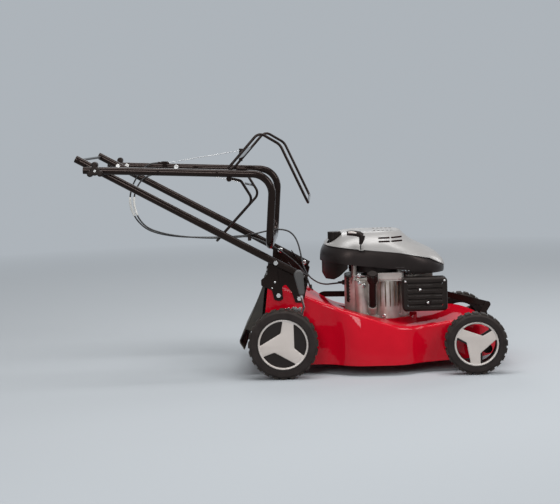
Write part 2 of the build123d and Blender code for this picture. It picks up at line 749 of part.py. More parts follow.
# Fuel tank under the cowl's rear, with its neck and cap standing through the cover
TANK_LINE = [(118, 289), (129, 273), (154, 272), (172, 283), (196, 306), (196, 345), (118, 345)]
TANK_ROUND_INSET = 7.0
NECK_R = 16.0
NECK_TOP = 400.0
CAP_Z = (390.0, 412.0)

with BuildPart() as fuel_tank:
    with BuildSketch(Plane.XZ):
        with BuildLine():
            FilletPolyline(*TANK_LINE, radius=5, close=True)
        make_face()
    extrude(amount=COWL_HALF, both=True)
    _, rear, front, half = COWL_SECTIONS[1]
    with BuildSketch():
        with Locations(((front + rear) / 2, 0)):
            plan_w = 2 * (half - TANK_ROUND_INSET)
            RectangleRounded(front - rear - 2 * TANK_ROUND_INSET, plan_w, COWL_ROUND * plan_w / 2)
    extrude(amount=COWL_HALF * 2, mode=Mode.INTERSECT)
    with BuildSketch(Plane.XY.offset(TANK_LINE[-1][1] - 5)):
        with Locations(CAP_AT):
            Circle(NECK_R)
    extrude(amount=NECK_TOP - TANK_LINE[-1][1] + 5)
write(fuel_tank, "fuel_tank")

with BuildPart() as fuel_cap:
    with BuildSketch(Plane.XY.offset(CAP_Z[0])):
        with Locations(CAP_AT):
            Circle(CAP_R)
            with PolarLocations(CAP_R + 1, 16):
                Circle(2.4, mode=Mode.SUBTRACT)
    extrude(amount=CAP_Z[1] - CAP_Z[0])
    chamfer(fuel_cap.faces().sort_by(Axis.Z)[-1].edges(), 1)
    with BuildSketch(Plane.XY.offset(CAP_Z[0])):
        with Locations(CAP_AT):
            Circle(NECK_R + CLEAR)
    extrude(amount=NECK_TOP - CAP_Z[0], mode=Mode.SUBTRACT)
write(fuel_cap, "fuel_cap")

# Oil filler leans outward from the crankcase, and its dipstick hangs in it from the cap
DIPSTICK_CAP_R = 17.0
DIPSTICK_CAP_L = 34.0
DIPSTICK_R = 3.0
with BuildPart() as oil_filler_tube:
    with BuildSketch(oil_plane):
        Circle(OIL_TUBE_R)
        Circle(OIL_TUBE_R - 2, mode=Mode.SUBTRACT)
    extrude(amount=OIL_TUBE_L)
write(oil_filler_tube, "oil_filler_tube")

with BuildPart() as oil_dipstick:
    with BuildSketch(oil_plane.offset(OIL_TUBE_L)):
        Circle(DIPSTICK_CAP_R - 4)
    extrude(amount=DIPSTICK_CAP_L)
    with BuildSketch(oil_plane.offset(OIL_TUBE_L + 10)):
        Circle(DIPSTICK_CAP_R)
        with PolarLocations(DIPSTICK_CAP_R + 3, 6):
            Circle(6, mode=Mode.SUBTRACT)
    extrude(amount=DIPSTICK_CAP_L - 14)
    with BuildSketch(oil_plane.offset(5)):
        Circle(DIPSTICK_R)
    extrude(amount=OIL_TUBE_L - 5)
write(oil_dipstick, "oil_dipstick")

# Muffler on the right of the cylinder, behind a louvred guard
MUFFLER_X = (368.0, 474.0)
MUFFLER_Y = (-150.0, -75.0)
MUFFLER_Z = (184.0, 268.0)
PORT_X = HEAD_X + HEAD_BASE / 2
GUARD_X = (354.0, 487.0)
GUARD_Y = (-165.0, -118.0)
GUARD_Z = (176.0, 276.0)
GUARD_T = 1.5
LOUVRES = 5
LOUVRE_PITCH = 16.0

with BuildPart() as muffler:
    with BuildSketch(Plane.XZ.offset(-MUFFLER_Y[1])):
        with Locations((sum(MUFFLER_X) / 2, sum(MUFFLER_Z) / 2)):
            RectangleRounded(MUFFLER_X[1] - MUFFLER_X[0], MUFFLER_Z[1] - MUFFLER_Z[0], 18)
    extrude(amount=MUFFLER_Y[1] - MUFFLER_Y[0])
    fillet(muffler.faces().sort_by(Axis.Y)[0].edges(), 6)
    with BuildSketch(Plane.XZ.offset(FIN_W / 2)):
        with Locations((PORT_X, BORE_Z)):
            Circle(HEAD_BASE / 2 - 2)
    extrude(amount=-MUFFLER_Y[1] - FIN_W / 2)
write(muffler, "muffler")

with BuildPart() as muffler_guard:
    guard_x = sum(GUARD_X) / 2
    guard_z = sum(GUARD_Z) / 2
    guard_l = GUARD_X[1] - GUARD_X[0]
    guard_h = GUARD_Z[1] - GUARD_Z[0]
    with BuildSketch(Plane.XZ.offset(-GUARD_Y[1])):
        with Locations((guard_x, guard_z)):
            RectangleRounded(guard_l, guard_h, 12)
    extrude(amount=GUARD_Y[1] - GUARD_Y[0])
    fillet(muffler_guard.faces().sort_by(Axis.Y)[0].edges(), 8)
    offset(amount=-GUARD_T, openings=muffler_guard.faces().sort_by(Axis.Y)[-1])
    with BuildSketch(Plane.XZ.offset(-GUARD_Y[0])):
        with Locations((guard_x, guard_z)):
            with GridLocations(1, LOUVRE_PITCH, 1, LOUVRES):
                SlotOverall(guard_l - 30, LOUVRE_PITCH / 2)
    extrude(amount=-2 * GUARD_T, mode=Mode.SUBTRACT)
    with BuildSketch(Plane.YZ.offset(guard_x)):
        with Locations((GUARD_Y[0] + 4, guard_z + 1.5)):
            with GridLocations(1, LOUVRE_PITCH, 1, LOUVRES):
                Rectangle(GUARD_T, 0.75 * LOUVRE_PITCH, rotation=-32)
    extrude(amount=guard_l / 2 - 16, both=True)
    with BuildSketch(Plane.XZ.offset(-MUFFLER_Y[0])):
        with Locations((guard_x - 20, guard_z + LOUVRE_PITCH / 2), (guard_x + 20, guard_z - 1.5 * LOUVRE_PITCH)):
            Circle(4)
    extrude(amount=MUFFLER_Y[0] - GUARD_Y[0])
write(muffler_guard, "muffler_guard")

# Carburettor and air filter on the left of the crankcase
CARB = (305.0, 45.0, 252.0)
CARB_L = 40.0
FILTER_SIZE = (110.0, 44.0, 88.0)
with BuildPart() as carburettor:
    with BuildSketch(Plane.XZ.offset(-CASE_W / 2)):
        with Locations((CARB[0], CARB[2])):
            RectangleRounded(CARB[1], CARB[1], 6)
    extrude(amount=-10)
    with BuildSketch(Plane.XZ.offset(-CASE_W / 2)):
        with Locations((CARB[0], CARB[2])):
            Circle(0.4 * CARB[1])
    extrude(amount=-CARB_L)
    with BuildSketch(Plane.XY.offset(CARB[2] - 0.75 * CARB[1])):
        with Locations((CARB[0], CASE_W / 2 + CARB_L / 2)):
            Circle(0.38 * CARB[1])
    extrude(amount=0.75 * CARB[1])
write(carburettor, "carburettor")

with BuildPart() as air_filter_box:
    with BuildSketch(Plane.XZ.offset(-CASE_W / 2 - CARB_L)):
        with Locations((CARB[0] - 10, CARB[2])):
            RectangleRounded(FILTER_SIZE[0], FILTER_SIZE[2], 16)
    extrude(amount=-FILTER_SIZE[1])
    fillet(air_filter_box.faces().sort_by(Axis.Y)[-1].edges(), 8)
    with BuildSketch(Plane.XZ.offset(-CASE_W / 2 - CARB_L - FILTER_SIZE[1])):
        with Locations((CARB[0] - 10, CARB[2])):
            with GridLocations(1, 12, 1, 4):
                SlotOverall(70, 4)
    extrude(amount=2, mode=Mode.SUBTRACT)
write(air_filter_box, "air_filter_box")

# Starter grip at the end of its rope, above the guide on the cover
GRIP_Z = 411.0
GRIP_R = 8.0
GRIP_L = 50.0
GRIP_NECK_Z = 378.0
with BuildPart() as starter_grip:
    with BuildSketch(Plane.XZ.offset(-ROPE_AT[1])):
        with Locations((ROPE_AT[0] - GRIP_L / 2 + 5, GRIP_Z)):
            SlotOverall(GRIP_L + 2 * GRIP_R, 2 * GRIP_R)
        with BuildLine():
            neck_top = [(ROPE_AT[0] - 12, GRIP_Z), (ROPE_AT[0] + 9, GRIP_Z)]
            Polyline(*neck_top, (ROPE_AT[0] + 6, GRIP_NECK_Z), (ROPE_AT[0] - 6, GRIP_NECK_Z), close=True)
        make_face()
    extrude(amount=GRIP_R, both=True)
    fillet(starter_grip.edges().filter_by(GeomType.CIRCLE), 4)
write(starter_grip, "starter_grip")

with BuildPart() as starter_rope:
    with BuildSketch(Plane.XY.offset(GUIDE_Z[1])):
        with Locations(ROPE_AT):
            Circle(ROPE_R)
    extrude(amount=GRIP_NECK_Z - GUIDE_Z[1])
write(starter_rope, "starter_rope")

# Crankshaft with flywheel, drive pulley, blade adapter and blade
SHAFT_TOP = 340.0
FLYWHEEL_R = 85.0
FLYWHEEL_Z = 306.0
FAN_H = 24.0
FAN_BLADES = 20
BLADE_TOP = BLADE_Z + BLADE_T
BLADE_BOLT_R = 5.0
ADAPTER_R = 20.0
ADAPTER_H = 20.0
PULLEY_H = 14.0
PULLEY_FLANGE = 2.0

with BuildPart() as crankshaft:
    with BuildSketch(Plane.XY.offset(BLADE_TOP)):
        with Locations((ENGINE_X, 0)):
            Circle(CRANKSHAFT_R)
    extrude(amount=SHAFT_TOP - BLADE_TOP)
    with BuildSketch(Plane.XY.offset(BLADE_TOP)):
        with Locations((ENGINE_X, 0)):
            Circle(BLADE_BOLT_R + RUNNING)
    extrude(amount=25, mode=Mode.SUBTRACT)
write(crankshaft, "crankshaft")

with BuildPart() as flywheel:
    with BuildSketch(Plane.XY.offset(FLYWHEEL_Z)):
        with Locations((ENGINE_X, 0)):
            Circle(FLYWHEEL_R)
    extrude(amount=8)
    with BuildSketch(Plane.XY.offset(FLYWHEEL_Z)):
        with Locations((ENGINE_X, 0)):
            Circle(2 * CRANKSHAFT_R)
            with PolarLocations(FLYWHEEL_R - 15, FAN_BLADES):
                Rectangle(28, 3, rotation=12)
    extrude(amount=FAN_H)
    with BuildSketch(Plane.XY.offset(FLYWHEEL_Z)):
        with Locations((ENGINE_X, 0)):
            Circle(CRANKSHAFT_R + RUNNING)
    extrude(amount=FAN_H, mode=Mode.SUBTRACT)
write(flywheel, "flywheel")


def grooved_pulley(x, y, outer, bore):
    """A vee-grooved pulley round a vertical shaft, at the belt's height."""
    half = PULLEY_H / 2
    lip = outer + PULLEY_FLANGE
    root = outer - BELT_T - CLEAR
    slope = BELT_T / 3
    with BuildPart() as pulley:
        with BuildSketch(Plane(origin=(x, y, BELT_Z), x_dir=(1, 0, 0), z_dir=(0, -1, 0))):
            mouth = BELT_W / 2 + CLEAR
            upper = [(lip, mouth), (outer, mouth), (root, mouth - slope)]
            groove = upper + [(r, -z) for r, z in reversed(upper)]
            Polygon((bore, half), (lip, half), *groove, (lip, -half), (bore, -half), align=None)
        revolve(axis=Axis((x, y, 0), (0, 0, 1)))
    return pulley.part


drive_sheave = grooved_pulley(ENGINE_X, 0, ENGINE_PULLEY_R, CRANKSHAFT_R + RUNNING)
with BuildPart() as engine_pulley:
    add(drive_sheave)
write(engine_pulley, "engine_pulley")

with BuildPart() as blade_adapter:
    with BuildSketch(Plane.XY.offset(BLADE_TOP)):
        with Locations((ENGINE_X, 0)):
            Circle(ADAPTER_R)
            Rectangle(2.4 * ADAPTER_R, ADAPTER_R)
            Circle(CRANKSHAFT_R + RUNNING, mode=Mode.SUBTRACT)
    extrude(amount=ADAPTER_H)
write(blade_adapter, "blade_adapter")

WING_L = 95.0
WING_W = 20.0
WING_RISE = 12.0
EDGE_L = 110.0
with BuildPart() as cutting_blade:
    with BuildSketch(Plane.XY.offset(BLADE_Z)):
        with Locations((ENGINE_X, 0)):
            Rectangle(BLADE_L, BLADE_W)
            Circle(BLADE_BOLT_R + RUNNING, mode=Mode.SUBTRACT)
    extrude(amount=BLADE_T)
    for side in (1, -1):
        wing_x = ENGINE_X + side * (BLADE_L / 2 - WING_L / 2)
        tip = side * BLADE_W / 2
        with BuildSketch(Plane.YZ.offset(wing_x)):
            with BuildLine():
                inner = [(tip - side * WING_W, BLADE_Z), (tip, BLADE_Z)]
                lift = [(tip, BLADE_Z + WING_RISE), (tip - side * 2, BLADE_Z + WING_RISE)]
                Polyline(*inner, *lift, (tip - side * WING_W, BLADE_TOP), close=True)
            make_face()
        extrude(amount=WING_L / 2, both=True)
        edge_x = ENGINE_X + side * (BLADE_L / 2 - EDGE_L / 2)
        with BuildSketch(Plane.YZ.offset(edge_x)):
            with BuildLine():
                Polyline((-tip, BLADE_Z), (-tip, BLADE_TOP), (-tip + side * 9, BLADE_TOP), close=True)
            make_face()
        extrude(amount=EDGE_L / 2, both=True, mode=Mode.SUBTRACT)
write(cutting_blade, "cutting_blade")

with BuildPart() as blade_bolt:
    with BuildSketch(Plane.XY.offset(BLADE_Z)):
        with Locations((ENGINE_X, 0)):
            Circle(16)
    extrude(amount=-2)
    with BuildSketch(Plane.XY.offset(BLADE_Z - 2)):
        with Locations((ENGINE_X, 0)):
            RegularPolygon(10, 6)
    extrude(amount=-7)
    with BuildSketch(Plane.XY.offset(BLADE_Z)):
        with Locations((ENGINE_X, 0)):
            Circle(BLADE_BOLT_R)
    extrude(amount=BLADE_T + 22)
write(blade_bolt, "blade_bolt")

# Belt, gearbox and the shaft that drives a pinion inside each rear wheel
GEARBOX_LINE = [(48, 56), (48, 104), (18, 104), (8, 92), (5, 78), (8, 66), (16, 56)]
GEARBOX_HALF = 35.0
GEARBOX_TOP = GEARBOX_LINE[1][1]
INPUT_R = 6.0
INPUT_DEPTH = 12.0

BELT_EDGE = 0.4


def belt_loop(z, inset):
    """The belt's outline round both pulleys at a height, or a loop lying further in."""
    with BuildSketch(Plane.XY.offset(z)) as loop:
        with BuildSketch(mode=Mode.PRIVATE) as sheaves:
            with Locations((ENGINE_X, 0)):
                Circle(ENGINE_PULLEY_R - inset)
            with Locations((GEARBOX_X, GEARBOX_Y)):
                Circle(GEARBOX_PULLEY_R - inset)
        make_hull(sheaves.edges())
    return loop.sketch


belt_half = BELT_W / 2
belt_inner_half = belt_half - BELT_T / 3
belt_flanks = [
    [belt_loop(BELT_Z + side * belt_inner_half, BELT_T), belt_loop(BELT_Z + side * belt_half, BELT_EDGE)]
    for side in (-1, 1)
]
belt_outside = belt_loop(BELT_Z - belt_half, 0)
belt_inside = belt_loop(BELT_Z - belt_inner_half, BELT_T)
with BuildPart() as drive_belt:
    extrude(belt_outside, amount=BELT_W)
    extrude(belt_inside, amount=2 * belt_inner_half, mode=Mode.SUBTRACT)
    for flank in belt_flanks:
        loft(flank, ruled=True, mode=Mode.SUBTRACT)
write(drive_belt, "drive_belt")

driven_sheave = grooved_pulley(GEARBOX_X, GEARBOX_Y, GEARBOX_PULLEY_R, 0)
with BuildPart() as gearbox_pulley:
    add(driven_sheave)
    with BuildSketch(Plane.XY.offset(GEARBOX_TOP - INPUT_DEPTH)):
        with Locations((GEARBOX_X, GEARBOX_Y)):
            Circle(INPUT_R)
    extrude(amount=BELT_Z - GEARBOX_TOP + INPUT_DEPTH)
write(gearbox_pulley, "gearbox_pulley")

with BuildPart() as gearbox:
    with BuildSketch(Plane.XZ.offset(-GEARBOX_Y + GEARBOX_HALF)):
        with BuildLine():
            FilletPolyline(*GEARBOX_LINE, radius=3, close=True)
        make_face()
        with Locations(REAR_PIVOT):
            Circle(AXLE_R + RUNNING, mode=Mode.SUBTRACT)
    extrude(amount=-2 * GEARBOX_HALF)
    with BuildSketch(Plane.XY.offset(GEARBOX_TOP)):
        with Locations((GEARBOX_X, GEARBOX_Y)):
            Circle(INPUT_R + RUNNING)
    extrude(amount=-INPUT_DEPTH, mode=Mode.SUBTRACT)
write(gearbox, "gearbox")

GEAR_START = WHEEL_INNER_Y + 7.0
GEAR_END = GEAR_START + GEAR_W
with BuildPart() as drive_shaft:
    with BuildSketch(side_plane(-GEAR_END)):
        with Locations(REAR_PIVOT):
            Circle(AXLE_R)
    extrude(amount=2 * GEAR_END)
write(drive_shaft, "drive_shaft")

# Toothing: straight-flanked teeth of one module for the pinions and the wheels' inner rings
PRESSURE_DEG = 20.0
BACKLASH = 0.9
ADDENDUM = 0.85 * GEAR_MODULE
DEDENDUM = 1.1 * GEAR_MODULE
PINION_R = GEAR_MODULE * PINION_TEETH / 2
RING_R = GEAR_MODULE * RING_TEETH / 2


def tooth(height_in, height_out):
    """One tooth's corners round its place on the pitch circle, narrowing from root to tip."""
    half = (pi * GEAR_MODULE / 2 - BACKLASH) / 2
    flank = tan(radians(PRESSURE_DEG))
    wide = half + flank * DEDENDUM
    slim = half - flank * ADDENDUM
    inner, outer = (wide, slim) if height_out == ADDENDUM else (slim, wide)
    return [(-height_in, -inner), (height_out, -outer), (height_out, outer), (-height_in, inner)]


def drive_pinion(left):
    """A pinion on one end of the drive shaft."""
    at = (-REAR_PIVOT[0] if left else REAR_PIVOT[0], REAR_PIVOT[1])
    start = 180 + CRANK_DEG if left else -CRANK_DEG
    with BuildPart() as pinion:
        with BuildSketch(side_plane(GEAR_START, left)):
            with Locations(at):
                Circle(PINION_R - DEDENDUM + 0.3)
                with PolarLocations(PINION_R, PINION_TEETH, start_angle=start):
                    Polygon(*tooth(DEDENDUM, ADDENDUM), align=None)
                Circle(AXLE_R + RUNNING, mode=Mode.SUBTRACT)
        extrude(amount=GEAR_W)
    return pinion


write(drive_pinion(False), "drive_pinion_right")
write(drive_pinion(True), "drive_pinion_left")

# Rear axle: plates hung from the tunnel floor carry bushes, and the cranked axle swings on them
PLATE_Y = 180.0
PLATE_T = 4.0
BUSH_R = 11.0
BUSH_END = ARM_Y + ARM_T + 1.0
ARM_R = 18.0
AXLE_EYE_R = 14.0
COLLAR_R = 10.0
PIN_EYE_R = 10.0
AXLE_END = WHEEL_OUTER_Y - 11.0

with BuildPart() as rear_axle_brackets:
    for left in (False, True):
        turn = -1 if left else 1
        pivot = (turn * REAR_PIVOT[0], REAR_PIVOT[1])
        top = [(turn * 49, TUNNEL_FLOOR_Z), (turn * 5, TUNNEL_FLOOR_Z)]
        with BuildSketch(side_plane(PLATE_Y, left)):
            with Locations(pivot):
                Circle(ARM_R - 7)
            Polygon(*top, (turn * 27.5, REAR_PIVOT[1]), (turn * 48.5, REAR_PIVOT[1]), align=None)
        extrude(amount=PLATE_T)
        with BuildSketch(side_plane(PLATE_Y - 22, left)):
            with Locations((turn * 27, TUNNEL_FLOOR_Z - PLATE_T / 2)):
                Rectangle(44, PLATE_T)
        extrude(amount=22)
        with BuildSketch(side_plane(PLATE_Y, left)):
            with Locations(pivot):
                Circle(BUSH_R)
        extrude(amount=BUSH_END - PLATE_Y)
    with BuildSketch(Plane.XZ):
        with Locations(REAR_PIVOT):
            Circle(AXLE_R + RUNNING)
    extrude(amount=BUSH_END, both=True, mode=Mode.SUBTRACT)
write(rear_axle_brackets, "rear_axle_brackets")


def arm_sketch(plane, places):
    """A flat arm round eyes given as (x, z, radius), joined by their common tangents."""
    with BuildSketch(plane) as arm:
        with BuildSketch(mode=Mode.PRIVATE) as eyes:
            for x, z, radius in places:
                with Locations((x, z)):
                    Circle(radius)
        make_hull(eyes.edges())
    return arm.sketch


LINK_X = LINK_ARM * cos(radians(LINK_ARM_DEG))
LINK_Z = LINK_ARM * sin(radians(LINK_ARM_DEG))
REAR_PIN = (REAR_PIVOT[0] + LINK_X, REAR_PIVOT[1] + LINK_Z)
FRONT_PIN = (FRONT_PIVOT[0] + LINK_X, FRONT_PIVOT[1] + LINK_Z)
LINK_Y = ARM_Y + ARM_T + 0.5
PIN_END = LINK_Y + LINK_T + 1.5
LEVER_R = 4.0
LEVER_LINE = [(43, -198.5, 94), (57, -199, 184), (64, -215, 206), (58, -236, 238), (50, -236, 300)]

lever_rod = rod(LEVER_LINE, LEVER_R, [14, 12, 14])
rear_eyes = [(*REAR_PIVOT, ARM_R), (0, REAR_R, AXLE_EYE_R)]
rear_link_eyes = [(*REAR_PIVOT, PIN_EYE_R), (*REAR_PIN, PIN_EYE_R)]
with BuildPart() as rear_axle:
    with BuildSketch(side_plane(-AXLE_END)):
        with Locations((0, REAR_R)):
            Circle(AXLE_R)
    extrude(amount=2 * AXLE_END)
    for left in (False, True):
        turn = -1 if left else 1
        arm = arm_sketch(side_plane(ARM_Y, left), [(turn * x, z, r) for x, z, r in rear_eyes])
        extrude(arm, amount=ARM_T)
        with BuildSketch(side_plane(ARM_Y, left)):
            with Locations((0, REAR_R)):
                Circle(COLLAR_R)
        extrude(amount=WHEEL_INNER_Y - CLEAR - ARM_Y)
    link_arm = arm_sketch(side_plane(ARM_Y, True), [(-x, z, r) for x, z, r in rear_link_eyes])
    extrude(link_arm, amount=ARM_T)
    with BuildSketch(side_plane(ARM_Y, True)):
        with Locations((-REAR_PIN[0], REAR_PIN[1])):
            Circle(PIN_R)
    extrude(amount=PIN_END - ARM_Y)
    add(lever_rod)
    with BuildSketch(Plane.XZ):
        with Locations(REAR_PIVOT):
            Circle(BUSH_R + RUNNING)
    extrude(amount=WHEEL_INNER_Y - CLEAR, both=True, mode=Mode.SUBTRACT)
write(rear_axle, "rear_axle")

# Lever grip and the notched quadrant it springs into
GRIP_W = 20.0
NOTCHES = 6
QUADRANT = (97.0, 125.0)
QUADRANT_DEG = (82.0, 140.0)
QUADRANT_T = 5.0

lever_grip = arm_sketch(side_plane(-LEVER_LINE[-1][1] - GRIP_W / 2), [(58, 252, 9), (51, 303, 14)])
grip_core = rod(LEVER_LINE[-2:], LEVER_R + RUNNING, None)
with BuildPart() as height_grip:
    extrude(lever_grip, amount=GRIP_W)
    fillet(height_grip.edges().filter_by(lambda edge: abs(edge.tangent_at(0.5).Y) < 0.1), 5)
    add(grip_core, mode=Mode.SUBTRACT)
write(height_grip, "height_grip")

with BuildPart() as height_quadrant:
    with BuildSketch(side_plane(DECK_END_HALF)):
        with Locations(REAR_PIVOT):
            Circle(QUADRANT[1])
            Circle(QUADRANT[0], mode=Mode.SUBTRACT)
        edges = [(REAR_PIVOT[0] + 400 * cos(radians(d)), REAR_PIVOT[1] + 400 * sin(radians(d)))
                 for d in QUADRANT_DEG]
        Polygon(REAR_PIVOT, *edges, align=None, mode=Mode.INTERSECT)
        swing = QUADRANT_DEG[1] - QUADRANT_DEG[0]
        with Locations(REAR_PIVOT):
            with PolarLocations(QUADRANT[1], NOTCHES, QUADRANT_DEG[0] + 5, swing - 10, endpoint=True):
                Circle(LEVER_R, mode=Mode.SUBTRACT)
    extrude(amount=QUADRANT_T)
write(height_quadrant, "height_quadrant")

# Front axle: a rod through the deck's sides, with cranks to the wheel stubs and a link arm
front_eyes = [(*FRONT_PIVOT, AXLE_EYE_R), (WHEELBASE, FRONT_R, AXLE_EYE_R)]
front_link_eyes = [(*FRONT_PIVOT, PIN_EYE_R), (*FRONT_PIN, PIN_EYE_R)]
with BuildPart() as front_axle:
    with BuildSketch(side_plane(-ARM_Y - ARM_T)):
        with Locations(FRONT_PIVOT):
            Circle(AXLE_R)
    extrude(amount=2 * (ARM_Y + ARM_T))
    for left in (False, True):
        turn = -1 if left else 1
        arm = arm_sketch(side_plane(ARM_Y, left), [(turn * x, z, r) for x, z, r in front_eyes])
        extrude(arm, amount=ARM_T)
        with BuildSketch(side_plane(ARM_Y, left)):
            with Locations((turn * WHEELBASE, FRONT_R)):
                Circle(COLLAR_R)
        extrude(amount=WHEEL_INNER_Y - CLEAR - ARM_Y)
        with BuildSketch(side_plane(ARM_Y, left)):
            with Locations((turn * WHEELBASE, FRONT_R)):
                Circle(AXLE_R)
        extrude(amount=AXLE_END - ARM_Y)
    link_arm = arm_sketch(side_plane(ARM_Y, True), [(-x, z, r) for x, z, r in front_link_eyes])
    extrude(link_arm, amount=ARM_T)
    with BuildSketch(side_plane(ARM_Y, True)):
        with Locations((-FRONT_PIN[0], FRONT_PIN[1])):
            Circle(PIN_R)
    extrude(amount=PIN_END - ARM_Y)
write(front_axle, "front_axle")

LINK_CLEAR = 0.5
LINK_LINE = [REAR_PIN, (112, 190), (500, 183), FRONT_PIN]
with BuildPart() as height_link:
    with BuildSketch(side_plane(LINK_Y, True)):
        with BuildLine():
            FilletPolyline(*[(-x, z) for x, z in LINK_LINE], radius=25)
        trace(line_width=LINK_W)
        pins = [(-REAR_PIN[0], REAR_PIN[1]), (-FRONT_PIN[0], FRONT_PIN[1])]
        with Locations(*pins):
            Circle(LINK_W / 2)
        with Locations(pins[0]):
            Circle(PIN_R + RUNNING, mode=Mode.SUBTRACT)
        with Locations(pins[1]):
            Circle(PIN_R + LINK_CLEAR, mode=Mode.SUBTRACT)
    extrude(amount=LINK_T)
write(height_link, "height_link")

# Wheels: a lugged tyre on a webbed rim; the rear rims hold the inner ring gear
CAP_DEPTH = 9.0
CAP_T = 7.0
WEB_T = 6.0
HUB_R = 18.0
TYRE_SHOULDER = 6.0
REAR_CAP_R = 74.3
FRONT_CAP_R = 65.0
REAR_RIM_R = RING_R + DEDENDUM + 1.2
FRONT_RIM_R = 58.0
CAP_RIM = 6.0
SPOKES = 3
SPOKE_W = 32.0
WINDOW_CORNER_R = 4.0


def wheel_plane(x, radius, left):
    """The inner face of a wheel standing on the ground, facing outward."""
    turn = -1 if left else 1
    return Plane(origin=(x, -turn * WHEEL_INNER_Y, radius), x_dir=(turn, 0, 0), z_dir=(0, -turn, 0))


def window_sketch(plane, ring, start):
    """The three openings between a wheel's spokes, inside a ring."""
    with BuildSketch(plane) as windows:
        Circle(ring)
        with PolarLocations(ring / 2, SPOKES, start_angle=start + 180 / SPOKES):
            Rectangle(ring, SPOKE_W, mode=Mode.SUBTRACT)
        fillet(windows.vertices(), WINDOW_CORNER_R)
    return windows.sketch


def wheel(x, radius, cap_r, rim_r, left, spoke_start, geared):
    """A tyre and rim in one, with the ring gear where the wheel is driven."""
    face = wheel_plane(x, radius, left)
    root = radius - LUG_H
    web_y = WHEEL_W - CAP_DEPTH
    barrel = [(rim_r, web_y - WEB_T), (rim_r, 0), (root - TYRE_SHOULDER, 0)]
    tread = [(root, 5), (root, WHEEL_W - 5), (root - TYRE_SHOULDER, WHEEL_W)]
    dish = [(cap_r + 0.5, WHEEL_W), (cap_r + 0.5, web_y), (AXLE_R + RUNNING, web_y)]
    hub = [(AXLE_R + RUNNING, 0), (HUB_R, 0), (HUB_R, web_y - WEB_T)]
    windows = window_sketch(face.offset(web_y - WEB_T), cap_r - CAP_RIM - 2, spoke_start)
    with BuildPart() as piece:
        with BuildSketch(Plane(origin=face.origin, x_dir=face.x_dir, z_dir=-face.y_dir)):
            Polygon(*tread, *dish, *hub, *barrel, align=None)
        revolve(axis=Axis(face.origin, face.z_dir))
        with BuildSketch(face.offset(4)):
            with PolarLocations(root + LUG_H / 2 - 1, LUG_COUNT, start_angle=-90):
                Rectangle(LUG_H + 2, LUG_W)
        extrude(amount=WHEEL_W - 8)
        if geared:
            line = 180 + CRANK_DEG if left else -CRANK_DEG
            with BuildSketch(face.offset(GEAR_START - WHEEL_INNER_Y - 1)):
                Circle(rim_r + 0.5)
                Circle(RING_R + DEDENDUM, mode=Mode.SUBTRACT)
                with PolarLocations(RING_R, RING_TEETH, start_angle=line + 180 / RING_TEETH):
                    Polygon(*tooth(ADDENDUM, DEDENDUM + 0.2), align=None)
            extrude(amount=GEAR_W + 2)
        else:
            extrude(windows, amount=WEB_T, mode=Mode.SUBTRACT)
    return piece


def hub_cap(x, radius, cap_r, left, spoke_start):
    """A flat three-spoked cap with a bevelled face, set in the rim."""
    face = wheel_plane(x, radius, left).offset(WHEEL_W - CAP_DEPTH)
    windows = window_sketch(face, cap_r - CAP_RIM, spoke_start)
    with BuildPart() as piece:
        with BuildSketch(face):
            Circle(cap_r)
        extrude(amount=CAP_T)
        extrude(windows, amount=CAP_T, mode=Mode.SUBTRACT)
        front_face = piece.faces().sort_by(Axis.Y)[-1 if left else 0]
        chamfer(front_face.edges(), 2)
    return piece


for left, side_name in ((False, "right"), (True, "left")):
    rear_start = 30
    front_start = 90
    rear_wheel = wheel(0, REAR_R, REAR_CAP_R, REAR_RIM_R, left, rear_start, True)
    write(rear_wheel, f"wheel_rear_{side_name}")
    write(hub_cap(0, REAR_R, REAR_CAP_R, left, rear_start), f"hub_cap_rear_{side_name}")
    front_wheel = wheel(WHEELBASE, FRONT_R, FRONT_CAP_R, FRONT_RIM_R, left, front_start, False)
    write(front_wheel, f"wheel_front_{side_name}")
    write(hub_cap(WHEELBASE, FRONT_R, FRONT_CAP_R, left, front_start), f"hub_cap_front_{side_name}")
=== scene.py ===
# %% [markdown]
# # A petrol lawn mower with its handle folded forward
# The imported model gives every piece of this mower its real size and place. This lesson dresses that
# model: each part gets the finish of the real one, the control cables are drawn again as smooth
# curves, and the small things that a drawing leaves out, such as screw heads and sleeves, are added.

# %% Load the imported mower
import json
import math
import bmesh
import bpy
from mathutils import Matrix, Vector
from mathutils.bvhtree import BVHTree


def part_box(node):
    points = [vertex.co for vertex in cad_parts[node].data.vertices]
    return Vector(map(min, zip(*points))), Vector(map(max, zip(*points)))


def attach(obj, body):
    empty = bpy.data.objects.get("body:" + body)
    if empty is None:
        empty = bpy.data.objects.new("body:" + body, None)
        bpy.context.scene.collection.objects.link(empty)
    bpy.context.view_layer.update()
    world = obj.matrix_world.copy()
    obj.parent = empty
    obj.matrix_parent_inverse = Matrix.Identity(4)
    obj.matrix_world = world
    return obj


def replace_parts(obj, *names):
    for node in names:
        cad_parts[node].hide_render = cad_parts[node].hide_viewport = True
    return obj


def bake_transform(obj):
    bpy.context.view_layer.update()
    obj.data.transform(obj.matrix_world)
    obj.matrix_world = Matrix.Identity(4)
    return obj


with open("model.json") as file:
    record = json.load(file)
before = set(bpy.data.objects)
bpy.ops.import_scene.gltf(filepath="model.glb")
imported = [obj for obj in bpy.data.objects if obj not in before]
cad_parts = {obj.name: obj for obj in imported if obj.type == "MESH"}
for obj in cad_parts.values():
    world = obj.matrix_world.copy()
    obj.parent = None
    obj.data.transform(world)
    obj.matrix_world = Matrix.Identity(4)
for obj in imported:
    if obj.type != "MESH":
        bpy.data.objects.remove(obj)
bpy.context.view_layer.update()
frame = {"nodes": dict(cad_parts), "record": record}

JOINTS = {joint["name"]: joint for joint in frame["record"]["behaviour"]["joints"]}

